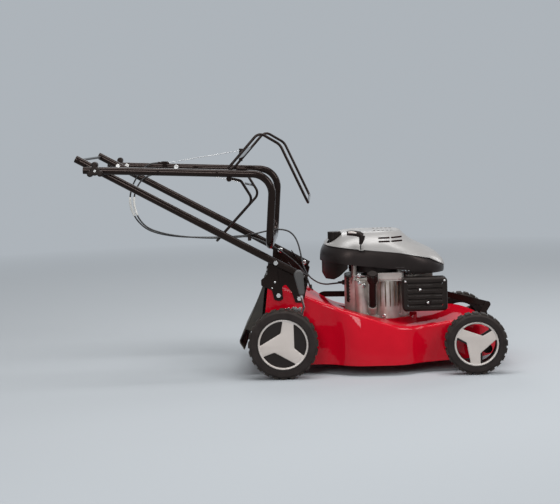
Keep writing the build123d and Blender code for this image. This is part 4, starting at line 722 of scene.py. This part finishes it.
# %% Adjusters and grommets
BARREL = [(0, -16), (2.9, -16), (3.4, -14), (3.4, 0), (3.0, 1), (3.0, 20), (2.4, 21), (0, 21)]
NUT_L = 4.4
NUT_GAP = 0.2
NUT = [(0, 0), (4.4, 0), (5.2, 0.8), (5.2, NUT_L - 0.8), (4.4, NUT_L), (0, NUT_L)]
HEX_SIDES = 6
GROMMET = [(0, 20), (3.0, 20), (3.6, 18), (4.2, 8), (7.5, 5), (7.5, 0), (0, 0)]
ALONG_HANDLE = (by_handle(100, 0, 0) - by_handle(0, 0, 0)).normalized()
UPWARD = Vector((0, 0, 1))
FORWARD = Vector((1, 0, 0))
ANCHOR_L = 12.4


def add_adjuster(shape, at, ahead):
    """A threaded barrel through an anchor, with a nut on both sides."""
    turned(shape, BARREL, at, ahead)
    turned(shape, NUT, at - ahead * (NUT_L + NUT_GAP) * MM, ahead, HEX_SIDES)
    turned(shape, NUT, at + ahead * (ANCHOR_L + NUT_GAP) * MM, ahead, HEX_SIDES)


adjusters = bmesh.new()
add_adjuster(adjusters, BRAKE_ROUTE[0], ALONG_HANDLE)
add_adjuster(adjusters, DRIVE_ROUTE[0], ALONG_HANDLE)
keep("cable_adjusters", adjusters, POWDER_BLACK, "upper_handle")
grommets = bmesh.new()
turned(grommets, GROMMET, DRIVE_ROUTE[-1], UPWARD)
turned(grommets, GROMMET, BRAKE_ROUTE[-1], -FORWARD)
keep("cable_grommets", grommets, SOFT_RUBBER, "root")
print("two adjusters and two grommets")

# %% Bare wires to the bails
WIRE_R = 1.0
WIRE_POINTS = 40
THIN_SIDES = 8
BRAKE_NIPPLE = by_handle(393, 58, 196)
DRIVE_NIPPLE = by_handle(438, -52, 186)
SPRING_FROM = 0.84
SPRING_R = 3.2
SPRING_TURNS = 9
SPRING_WIRE_R = 0.8


def straight(start, end, count):
    """Evenly spaced points from start to end."""
    return [start.lerp(end, i / (count - 1)) for i in range(count)]


def coil(start, end, radius, turns, per_turn=14):
    """Points of a helix round the line from start to end."""
    axis = (end - start).normalized()
    across = axis.orthogonal().normalized()
    up = axis.cross(across)
    count = turns * per_turn
    spots = [(start.lerp(end, i / count), math.tau * i / per_turn) for i in range(count + 1)]
    return [at + (across * math.cos(t) + up * math.sin(t)) * radius * MM for at, t in spots]


def add_wire(name, start, end):
    """A bare wire from an adjuster to its bail."""
    shape = bmesh.new()
    swept(shape, straight(start, end, WIRE_POINTS), WIRE_R, THIN_SIDES)
    piece = keep(name, shape, GROUND_STEEL)
    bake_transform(piece)
    return piece


brake_start = BRAKE_ROUTE[0] + ALONG_HANDLE * ANCHOR_L * MM
drive_start = DRIVE_ROUTE[0] + ALONG_HANDLE * ANCHOR_L * MM
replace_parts(add_wire("brake_wire", brake_start, BRAKE_NIPPLE), "brake_inner_wire")
add_wire("drive_wire", drive_start, DRIVE_NIPPLE)
spring_start = drive_start.lerp(DRIVE_NIPPLE, SPRING_FROM)
turns = bmesh.new()
swept(turns, coil(spring_start, DRIVE_NIPPLE, SPRING_R, SPRING_TURNS), SPRING_WIRE_R, THIN_SIDES)
spring = keep("drive_spring", turns, POWDER_BLACK)
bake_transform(spring)
print("brake wire is", round((BRAKE_NIPPLE - brake_start).length, 3), "m long")

# %% Starter rope of three strands
ROPE_AT = (235, -150)
ROPE_LOW = 361
ROPE_HIGH = 379
STRANDS = 3
STRAND_R = 1.0
STRAND_OUT = 1.05
LAY_TURNS = 2
LAY_STEPS = 16
middle = place(*ROPE_AT, 0)
lay = coil(place(*ROPE_AT, ROPE_LOW), place(*ROPE_AT, ROPE_HIGH), STRAND_OUT, LAY_TURNS, LAY_STEPS)
strands = bmesh.new()
for strand in range(STRANDS):
    turn = Matrix.Rotation(math.tau * strand / STRANDS, 4, "Z")
    swept(strands, [middle + turn @ (p - middle) for p in lay], STRAND_R, THIN_SIDES)
rope = keep("rope_strands", strands, SHEATH)
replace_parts(rope, "starter_rope")
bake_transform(rope)
print("rope of", STRANDS, "strands")

# %% [markdown]
# ## Starter grip
# The grip is a moulded bar with a hooked end that the rope comes out of, and a pale soft pad on its
# outer side. Two swept forms overlap where the hook turns down. A voxel remesh melts them into one
# skin, and smoothing gives that skin the soft rounding of a moulding.

# %% Grip moulding and pad
GRIP_BAR = [(195, -150, 413), (206, -150, 413), (219, -150, 412), (232, -150, 409), (241, -150, 403)]
GRIP_BAR_R = [7.0, 8.4, 8.6, 9.2, 9.0]
GRIP_NECK = [(240, -150, 405), (239, -150, 396), (237, -150, 387), (235, -150, 380), (235, -150, 378)]
GRIP_NECK_R = [9.5, 8.6, 6.6, 4.8, 4.2]
GRIP_VOXEL = 1.1
GRIP_PASSES = 8
GRIP_FLAT = 0.9
GRIP_SIDES = 24
PAD_LINE = [(199, -155.2, 415.2), (207, -156, 415.5), (216, -156, 414.6), (224, -155.6, 412.4)]
PAD_R = [2.6, 3.4, 3.4, 2.6]
PAD_VOXEL = 0.6
PAD_PASSES = 4
PAD_SIDES = 16
MOULDED_CREASE = 80.0


def melted(name, shape, voxel, passes):
    """One smooth skin from overlapping forms. The voxel is in millimetres."""
    mesh = bpy.data.meshes.new(name)
    shape.to_mesh(mesh)
    shape.free()
    rough = bpy.data.objects.new(name, mesh)
    show(rough)
    remesh = rough.modifiers.new("melt", "REMESH")
    remesh.mode = "VOXEL"
    remesh.voxel_size = voxel * MM
    smooth = rough.modifiers.new("smooth", "SMOOTH")
    smooth.iterations = passes
    bpy.context.view_layer.update()
    done = bpy.data.meshes.new_from_object(rough.evaluated_get(bpy.context.evaluated_depsgraph_get()))
    bpy.data.objects.remove(rough)
    bpy.data.meshes.remove(mesh)
    skin = bmesh.new()
    skin.from_mesh(done)
    bpy.data.meshes.remove(done)
    return skin


bar_and_neck = bmesh.new()
swept(bar_and_neck, [place(*at) for at in GRIP_BAR], GRIP_BAR_R, GRIP_SIDES, GRIP_FLAT)
swept(bar_and_neck, [place(*at) for at in GRIP_NECK], GRIP_NECK_R, GRIP_SIDES)
grip_skin = melted("starter_handle", bar_and_neck, GRIP_VOXEL, GRIP_PASSES)
grip = keep("starter_handle", grip_skin, BLACK_MOULDING, "starter_grip", MOULDED_CREASE)
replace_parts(grip, "starter_grip")
pad = bmesh.new()
swept(pad, [place(*at) for at in PAD_LINE], PAD_R, PAD_SIDES)
pad_skin = melted("starter_grip_pad", pad, PAD_VOXEL, PAD_PASSES)
keep("starter_grip_pad", pad_skin, HUB_GREY, "starter_grip", MOULDED_CREASE)
print("starter grip with its pad")

# %% [markdown]
# ## The deck's pressed side
# The wall of a pressed deck leans in a little more the higher it goes, and that is where it catches a
# highlight below its shoulder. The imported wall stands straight. So its mesh is copied and sliced into
# thin courses, which give it enough vertices to bend, and only the part that bulges past the wheels
# leans in, because the brackets and axles are bolted to the rest. The wall's top falls towards the
# nose, so the lean follows the share of the wall's own height at each place.

# %% Slice the deck and lean its bulge in
SKIRT_Z = 30.0
COURSE = 6.0
COURSES = 34
BULGE_START = 190.0
LEAN_SHARE = 0.42
WALL_TOP = 207.0
WALL_TOP_X = 150.0
WALL_FALL = 0.32
LEAN_LIMIT = 1.15
DECK_WELD = 0.002


def slice_deck():
    """The deck's mesh, welded and cut by level planes."""
    packed = frame["nodes"]["deck_shell"].data
    shape = bmesh.new()
    corners = [shape.verts.new(vertex.co) for vertex in packed.vertices]
    for polygon in packed.polygons:
        shape.faces.new([corners[i] for i in polygon.vertices])
    bmesh.ops.remove_doubles(shape, verts=shape.verts[:], dist=DECK_WELD * MM)
    for course in range(COURSES):
        level = Vector((0, 0, (SKIRT_Z + course * COURSE) * MM))
        parts = shape.verts[:] + shape.edges[:] + shape.faces[:]
        bmesh.ops.bisect_plane(shape, geom=parts, plane_co=level, plane_no=UPWARD)
    return shape


def lean(point):
    """A point of the deck, leaned in by its height on the wall and by how far it bulges out."""
    bulge = max(0.0, abs(point.y) / MM - BULGE_START)
    top = WALL_TOP - WALL_FALL * ((point.x - AXLE_X) / MM - WALL_TOP_X)
    height = min(max((point.z / MM - SKIRT_Z) / (top - SKIRT_Z), 0.0), LEAN_LIMIT)
    inward = bulge * LEAN_SHARE * height * height * MM
    return Vector((point.x, point.y - math.copysign(inward, point.y), point.z))


deck = slice_deck()
for vertex in deck.verts:
    vertex.co = lean(vertex.co)
deck_faces = len(deck.faces)
deck_body = keep("deck_body", deck, PAINT_RED, "root")
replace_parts(deck_body, "deck_shell")
print("deck sliced into", deck_faces, "faces")

# %% [markdown]
# ## Hub faces
# Each wheel has a pale moulded face: a bead round the rim, and a plate with three swept windows that
# leave a broad star of three arms. Such a plate could be cut from a disc with booleans. A flat curve
# with holes in it is quicker: Blender fills it, gives it thickness and rounds its edges in one go.

# %% Plate with three windows and a bead round it
ARMS = 3
PLATE_T = 5.0
PLATE_ROUND = 1.6
PLATE_DOWN = 1.6
PLATE_STEPS = 90
PLATE_WELD = 0.02
BEAD_W = 5.2
WINDOW_START = 11.0
WINDOW_END = 103.0
WINDOW_STEPS = 11
FAR_SHARES = (0.1, 0.5, 0.9)
NEAR_SHARES = (0.15, 0.5, 0.85)
INNER_TURN = 22.0
INNER_SHARE = 0.50
FULL_TURN = 360.0


def polar(radius, degrees):
    """A flat point at a radius and an angle."""
    turn = math.radians(degrees)
    return Vector((radius * math.cos(turn), radius * math.sin(turn)))


def window_outline(radius, start):
    """A window between two arms: along the rim, in to a corner beside the first arm, and out again."""
    step = (WINDOW_END - WINDOW_START) / (WINDOW_STEPS - 1)
    rim = [polar(radius, start + WINDOW_START + i * step) for i in range(WINDOW_STEPS)]
    corner = polar(radius * INNER_SHARE, start + INNER_TURN)
    along_far = [rim[-1].lerp(corner, share) for share in FAR_SHARES]
    along_near = [corner.lerp(rim[0], share) for share in NEAR_SHARES]
    return rim + along_far + [corner] + along_near


def closed_spline(curve, points, kind):
    """Adds a closed flat spline to a curve."""
    spline = curve.splines.new(kind)
    spline.points.add(len(points) - 1)
    for point, at in zip(spline.points, points):
        point.co = (at.x * MM, at.y * MM, 0.0, 1.0)
    if kind == "NURBS":
        spline.order_u = 3
    spline.use_cyclic_u = True


def window_plate(name, radius, start):
    """A round plate with the windows cut in it and rounded edges, in a bmesh, lying flat."""
    curve = bpy.data.curves.new(name, "CURVE")
    curve.dimensions = "2D"
    curve.fill_mode = "BOTH"
    curve.resolution_u = 5
    curve.extrude = (PLATE_T / 2 - PLATE_ROUND) * MM
    curve.bevel_depth = PLATE_ROUND * MM
    curve.bevel_resolution = 3
    curve.offset = -PLATE_ROUND * MM
    rim = [polar(radius, FULL_TURN / PLATE_STEPS * i) for i in range(PLATE_STEPS)]
    closed_spline(curve, rim, "POLY")
    for arm in range(ARMS):
        closed_spline(curve, window_outline(radius - BEAD_W, start + FULL_TURN / ARMS * arm), "NURBS")
    plate = mesh_of(curve)
    bmesh.ops.remove_doubles(plate, verts=plate.verts[:], dist=PLATE_WELD * MM)
    return plate


print("a hub face has", ARMS, "arms")

# %% Hub faces of the four wheels
FIRST_ARM = {"rear": 79.0, "front": 29.0}
BEAD_OVERLAP = 1.0
BEAD_SIDES = 96
FACE_WELD = 0.005


def bead_profile(radius, deep):
    """The section of the bead round a face: a rounded lip on a flat ring, closed at its foot."""
    inner = radius - BEAD_W
    crown = radius - BEAD_W / 2
    inside = [(inner, 0), (inner, deep - 2.0), (inner + 1.2, deep - 0.5)]
    outside = [(radius - 1.0, deep - 0.8), (radius, deep - 2.6), (radius, 0)]
    return inside + [(crown, deep)] + outside + [(inner, 0)]


def add_hub_face(end, side):
    """The pale face that stands for a wheel's cap node, set in its rim."""
    node = f"hub_cap_{end}_{side}"
    low, high = (Vector(corner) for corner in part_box(node))
    radius = (high.x - low.x) / 2 / MM
    deep = (high.y - low.y) / MM
    outward = Vector((0, -1 if side == "right" else 1, 0))
    middle = (low + high) / 2
    foot = middle - outward * deep / 2 * MM
    across = Vector((-outward.y, 0, 0))
    shape = window_plate(node, radius - BEAD_OVERLAP, FIRST_ARM[end])
    upright = Matrix((across, UPWARD, outward)).transposed().to_4x4()
    seat_at = Matrix.Translation(foot + outward * (deep - PLATE_DOWN - PLATE_T / 2) * MM)
    bmesh.ops.transform(shape, matrix=seat_at @ upright, verts=shape.verts[:])
    turned(shape, bead_profile(radius, deep), foot, outward, BEAD_SIDES)
    bmesh.ops.remove_doubles(shape, verts=shape.verts[:], dist=FACE_WELD * MM)
    piece = keep(f"hub_face_{end}_{side}", shape, HUB_GREY, f"wheel_{end}_{side}")
    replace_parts(piece, node)


for end in FIRST_ARM:
    for side in SIDES:
        add_hub_face(end, side)
print("hub faces:", len(FIRST_ARM) * len(SIDES))

# %% [markdown]
# ## Bolts, screws and rivets
# A fastener catches the eye because its plating shines against black paint. A hexagon head with a
# flange is a turned flange plus a turned form of six sides, and a pan head is one turned profile with
# a driver recess. Heads on curved parts are seated by casting a ray onto the part's own surface. Two
# heads on the far tube are low, so that they pass the lower tube when the handle is opened out.

# %% Heads of bolts and screws
FLANGE = [(0, 0), (1.34, 0), (1.34, 0.16), (1.05, 0.34), (0, 0.34)]
HEXAGON = [(0, 0.2), (1.1, 0.2), (1.1, 0.86), (0.98, 1.0), (0.5, 1.0), (0.4, 0.92), (0, 0.92)]
PAN = [(0, 0), (1.0, 0), (1.0, 0.2), (0.9, 0.42), (0.62, 0.6), (0.34, 0.66), (0.26, 0.4), (0, 0.36)]
TOWARD = Vector((0, -1, 0))
RAY_FROM_Y = -400.0


def scaled(profile, size):
    """A profile in shares of a size, as millimetres."""
    return [(radius * size, along * size) for radius, along in profile]


def hex_head(shape, at, axis, size):
    """A flanged hexagon head. The size is about half its width in millimetres."""
    turned(shape, scaled(FLANGE, size), at, axis)
    turned(shape, scaled(HEXAGON, size), at, axis, HEX_SIDES)


def pan_head(shape, at, axis, size):
    """A pan head with a driver recess. The size is its radius in millimetres."""
    turned(shape, scaled(PAN, size), at, axis)


def surface_of(node):
    """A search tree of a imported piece's surface."""
    return BVHTree.FromObject(frame["nodes"][node], bpy.context.evaluated_depsgraph_get())


def seat(tree, x, z):
    """Where a ray from the mower's right side meets a surface, and the outward direction there."""
    at, normal, _, _ = tree.ray_cast(place(x, RAY_FROM_Y, z), -TOWARD)
    return at, normal if normal.dot(TOWARD) > 0 else -normal


print("heads are ready")

# %% Fasteners of the handle and its brackets
TUBE_FACE = 236.2
FAR_TUBE_FACE = 214.2
BRACKET_FACE = 191.2
BRACKET_T = 3.2
HEAD_GAP = 0.2
SCREWS_ALONG = (181, 352)
SCREW_R = 4.2
SCREW_SUNK = 0.6
LOW_HEADS_ALONG = (24, 184)
LOW_HEAD = [(0, -3.2), (7.4, -3.2), (7.4, 0.2), (6.6, 0.7), (0, 0.7)]
RIVETS = ((-20, 278.5, 3.4), (-29, 261, 2.6), (63, 247, 2.6))
TUBE_BOLTS = ((60, 295.5), (-15.1, 337.5))
TUBE_BOLT_SIZE = 6.0
handle_screws = bmesh.new()
handle_bolts = bmesh.new()
bracket_rivets = bmesh.new()
for side in (-1, 1):
    outward = -TOWARD * side
    for along in SCREWS_ALONG:
        pan_head(handle_screws, by_handle(along, 0, side * (TUBE_FACE - SCREW_SUNK)), outward, SCREW_R)
    for x, z, radius in RIVETS:
        pan_head(bracket_rivets, place(x, side * BRACKET_FACE, z), outward, radius)
    for x, z in TUBE_BOLTS:
        inside = place(x, side * (BRACKET_FACE - BRACKET_T - HEAD_GAP), z)
        hex_head(bracket_rivets, inside, -outward, TUBE_BOLT_SIZE)
for along in LOW_HEADS_ALONG:
    turned(handle_bolts, LOW_HEAD, by_handle(along, 0, FAR_TUBE_FACE), TOWARD)
keep("handle_screws", handle_screws, POWDER_BLACK, "upper_handle")
keep("handle_bolts", handle_bolts, ZINC, "upper_handle")
keep("bracket_rivets", bracket_rivets, ZINC, "root")
print("screws, bolts and rivets on the handle")

# %% Ribs pressed into the brackets
PRESSED_RIB_R = 1.3
ROUND_SIDES = 10
NEAR_RIB = [(-12, 312), (-11, 300), (-9, 284), (-6, 270), (-2, 256)]
FRONT_RIB = [(20, 336), (28, 326), (36, 312), (42, 298), (46, 284)]
ribs = bmesh.new()
for rib in (NEAR_RIB, FRONT_RIB):
    for face in (BRACKET_FACE, BRACKET_FACE - BRACKET_T):
        for y in (-face, face):
            route = smooth_line("rib", [place(x, y, z) for x, z in rib])
            swept(ribs, route, PRESSED_RIB_R, ROUND_SIDES)
keep("bracket_ribs", ribs, POWDER_BLACK, "root")
print("ribs on both faces of both brackets")

# %% Bolts, breather cover and ribs of the engine block
ENGINE_BOLTS = ((229, 258), (243, 250), (348, 160.5), (300, 158), (252, 158))
ENGINE_BOLT_SIZE = 4.6
BREATHER = [(281, 267), (358, 266), (357, 288), (281, 288)]
BREATHER_Y = 110.2
BREATHER_T = 1.8
BREATHER_BOLTS = ((288, 271), (351, 271))
BREATHER_BOLT_SIZE = 3.4
BOLT_SUNK = 0.2
CAST_RIBS_X = (292, 306, 320, 333, 343)
CAST_RIB_LEVELS = (186, 196, 250, 262)
CAST_RIB_R = [1.2, 2.0, 2.0, 1.2]
BLOCK = surface_of("engine_block")
engine_bolts = bmesh.new()
for x, z in ENGINE_BOLTS:
    at, outward = seat(BLOCK, x, z)
    hex_head(engine_bolts, at, outward, ENGINE_BOLT_SIZE)
keep("engine_bolts", engine_bolts, ZINC, "root")
# The breather cover takes the pale hub grey, which is partly its own light grey and partly painted light
# where the cowl shades it.
breather = bmesh.new()
cut_plate(breather, [place(x, -BREATHER_Y, z) for x, z in BREATHER], TOWARD * BREATHER_T * MM)
for x, z in BREATHER_BOLTS:
    on_cover = place(x, BOLT_SUNK - BREATHER_Y - BREATHER_T, z)
    hex_head(breather, on_cover, TOWARD, BREATHER_BOLT_SIZE)
keep("breather_cover", breather, HUB_GREY, "root")
casting_ribs = bmesh.new()
for x in CAST_RIBS_X:
    swept(casting_ribs, [seat(BLOCK, x, z)[0] for z in CAST_RIB_LEVELS], CAST_RIB_R, ROUND_SIDES)
keep("casting_ribs", casting_ribs, HEAT_STEEL, "root")
print("engine block has", len(ENGINE_BOLTS), "bolts and", len(CAST_RIBS_X), "ribs")

# %% Dished screws of the muffler guard
DISHES = ((406, 241), (428.5, 202))
DISH = [(0, 0.2), (4.4, 0.2), (5.2, 1.1), (6.6, 1.5), (7.8, 1.1), (8.4, 0), (0, 0)]
DISH_FLOOR = 0.3
DISH_SCREW_R = 3.8
CORNER_SCREWS = ((363, 266), (478, 266))
CORNER_SCREW_R = 3.2
GUARD = surface_of("muffler_guard")
guard_dishes = bmesh.new()
guard_screws = bmesh.new()
for x, z in DISHES:
    at, outward = seat(GUARD, x, z)
    turned(guard_dishes, DISH, at, outward)
    pan_head(guard_screws, at + outward * DISH_FLOOR * MM, outward, DISH_SCREW_R)
for x, z in CORNER_SCREWS:
    pan_head(guard_screws, *seat(GUARD, x, z), CORNER_SCREW_R)
keep("guard_dishes", guard_dishes, POWDER_BLACK, "root")
keep("guard_screws", guard_screws, ZINC, "root")
print("guard screws are seated")

# %% [markdown]
# ## Cheeks of the rear flap
# The flap that shields the discharge mouth is a rubber moulding with a cheek at either end, which
# closes the gap beside the deck. Each cheek is a thin plate cut to the gap's outline, and it rides
# with the flap when that swings up.

# %% Cheeks of the flap
CHEEK = [(-56, 267), (-66, 243), (-79, 210), (-99, 167), (-113, 140), (-80, 132), (-66, 150), (-60, 190),
         (-54, 240), (-50, 265)]
CHEEK_Y = 183.6
CHEEK_T = 2.6
cheeks = bmesh.new()
for side in (-1, 1):
    outline = [place(x, side * CHEEK_Y, z) for x, z in CHEEK]
    cut_plate(cheeks, outline, Vector((0, -side * CHEEK_T * MM, 0)))
keep("flap_cheeks", cheeks, FLAP_RUBBER, "rear_flap")
print("flap cheeks ride with the flap")

# %% [markdown]
# ## Brake bracket of the engine
# The brake cable ends at a small black bracket on the rear corner of the engine block, which carries
# the lever that stops the flywheel. It is a folded plate with pressed ribs. A few plates and swept
# ribs make it, because it sits in the shade under the cowl.

# %% Folded bracket with its ribs
FOLDED_PLATE = [(190, 200), (206, 192), (214, 196), (214, 268), (208, 276), (190, 272)]
FOLDED_Y = -70
FOLDED_T = 2.2
FOLDED_RIB = [(191, -72), (202, -73), (213, -72)]
FOLDED_RIB_R = [1.6, 2.2, 1.6]
FOLDED_RIB_LEVELS = range(206, 268, 10)
ARM_ROUTE = [(206, -74, 250), (206, -86, 268), (208, -100, 278), (226, -104, 281), (246, -104, 279)]
ARM_R = 1.6
ARM_BOLT = (229, -103, 281)
ARM_BOLT_SIZE = 5.0
brake_bracket = bmesh.new()
cut_plate(brake_bracket, [place(x, FOLDED_Y, z) for x, z in FOLDED_PLATE], TOWARD * FOLDED_T * MM)
for z in FOLDED_RIB_LEVELS:
    swept(brake_bracket, [place(x, y, z) for x, y in FOLDED_RIB], FOLDED_RIB_R, ROUND_SIDES)
keep("brake_bracket", brake_bracket, POWDER_BLACK, "root")
brake_arm = bmesh.new()
swept(brake_arm, smooth_line("arm", [place(*at) for at in ARM_ROUTE]), ARM_R, ROUND_SIDES)
hex_head(brake_arm, place(*ARM_BOLT), TOWARD, ARM_BOLT_SIZE)
keep("brake_arm", brake_arm, ZINC, "root")
print("brake bracket on the block's corner")

# %% [markdown]
# ## The studio
# The mower stands on a plain pale floor under large soft lamps. The floor runs far back, and beyond
# the mower it fades into one even tone that the world shares, so no hard horizon crosses the picture.
# Lamps are sized so that a colour renders about as it is written.

# %% Floor and world
BACKDROP = (0.42, 0.455, 0.49, 1.0)
FLOOR_COLOUR = (0.42, 0.447, 0.472, 1.0)
FLOOR_RADIUS = 60.0
FLOOR_SIDES = 96
FLOOR_DROP = 0.0005
AMBIENT = 0.28
FADE_START = 1.1
FADE_END = 4.5


def seen_directly(tree):
    """1 for rays from the camera, from a shiny surface or through glass."""
    path = add(tree, "LightPath").outputs
    either = maths(tree, "MAXIMUM", path["Is Camera Ray"], path["Is Glossy Ray"])
    return maths(tree, "MAXIMUM", either, path["Is Transmission Ray"])


def floor_finish():
    """Matt pale paint near the mower, fading to the even tone of the backdrop."""
    material = bpy.data.materials.new("studio_floor")
    material.use_nodes = True
    tree = material.node_tree
    tree.nodes.remove(tree.nodes["Principled BSDF"])
    where = object_place(tree)
    far = add(tree, "VectorMath", {0: where}, operation="LENGTH").outputs["Value"]
    fade = maths(tree, "MULTIPLY", spread(tree, far, FADE_START, FADE_END), seen_directly(tree))
    matt = add(tree, "BsdfDiffuse", {"Color": FLOOR_COLOUR})
    even = add(tree, "Emission", {"Color": BACKDROP})
    mixed = add(tree, "MixShader", {0: fade, 1: matt.outputs[0], 2: even.outputs[0]})
    tree.links.new(mixed.outputs[0], tree.nodes["Material Output"].inputs["Surface"])
    return material


def add_floor():
    """A large round floor at ground level."""
    mesh = bpy.data.meshes.new("studio_floor")
    disc = bmesh.new()
    bmesh.ops.create_circle(disc, cap_ends=True, segments=FLOOR_SIDES, radius=FLOOR_RADIUS)
    disc.to_mesh(mesh)
    disc.free()
    mesh.materials.append(floor_finish())
    floor = bpy.data.objects.new("studio_floor", mesh)
    floor.location.z = -FLOOR_DROP
    show(floor)


def light_world(ambient):
    """An even grey room: the backdrop's tone where it is seen, and soft light everywhere else."""
    world = bpy.data.worlds.new("studio")
    bpy.context.scene.world = world
    world.use_nodes = True
    tree = world.node_tree
    light = tree.nodes["Background"]
    light.inputs["Color"].default_value = opaque((ambient, ambient, ambient))
    even = add(tree, "Background", {"Color": BACKDROP})
    mixed = add(tree, "MixShader", {0: seen_directly(tree), 1: light.outputs[0], 2: even.outputs[0]})
    tree.links.new(mixed.outputs[0], tree.nodes["World Output"].inputs["Surface"])


add_floor()
light_world(AMBIENT)
print("floor reaches", FLOOR_RADIUS, "m")

# %% Soft lamps
LAMPS = {
    "key": ((-0.75, -3.3, 1.55), (1.3, 1.2), 39.0),
    "top": ((0.15, -0.4, 3.1), (2.6, 1.2), 64.0),
    "fill": ((2.4, -2.0, 2.3), (1.4, 1.4), 44.0),
    "back": ((-0.6, 2.8, 2.4), (2.4, 1.2), 30.0),
    "rim": ((2.4, 1.3, 1.3), (0.5, 1.2), 12.0),
}
AIM = Vector((0.1, 0.0, 0.3))


def add_lamp(name, at, size, watts):
    """A rectangular soft lamp that points at the engine."""
    data = bpy.data.lights.new(name, "AREA")
    data.shape = "RECTANGLE"
    data.size, data.size_y = size
    data.energy = watts
    lamp = bpy.data.objects.new(name, data)
    lamp.location = at
    lamp.rotation_euler = (AIM - Vector(at)).to_track_quat("-Z", "Y").to_euler()
    show(lamp)


for lamp_name, (at, size, watts) in LAMPS.items():
    add_lamp(lamp_name, at, size, watts)
print("lamps:", ", ".join(LAMPS))
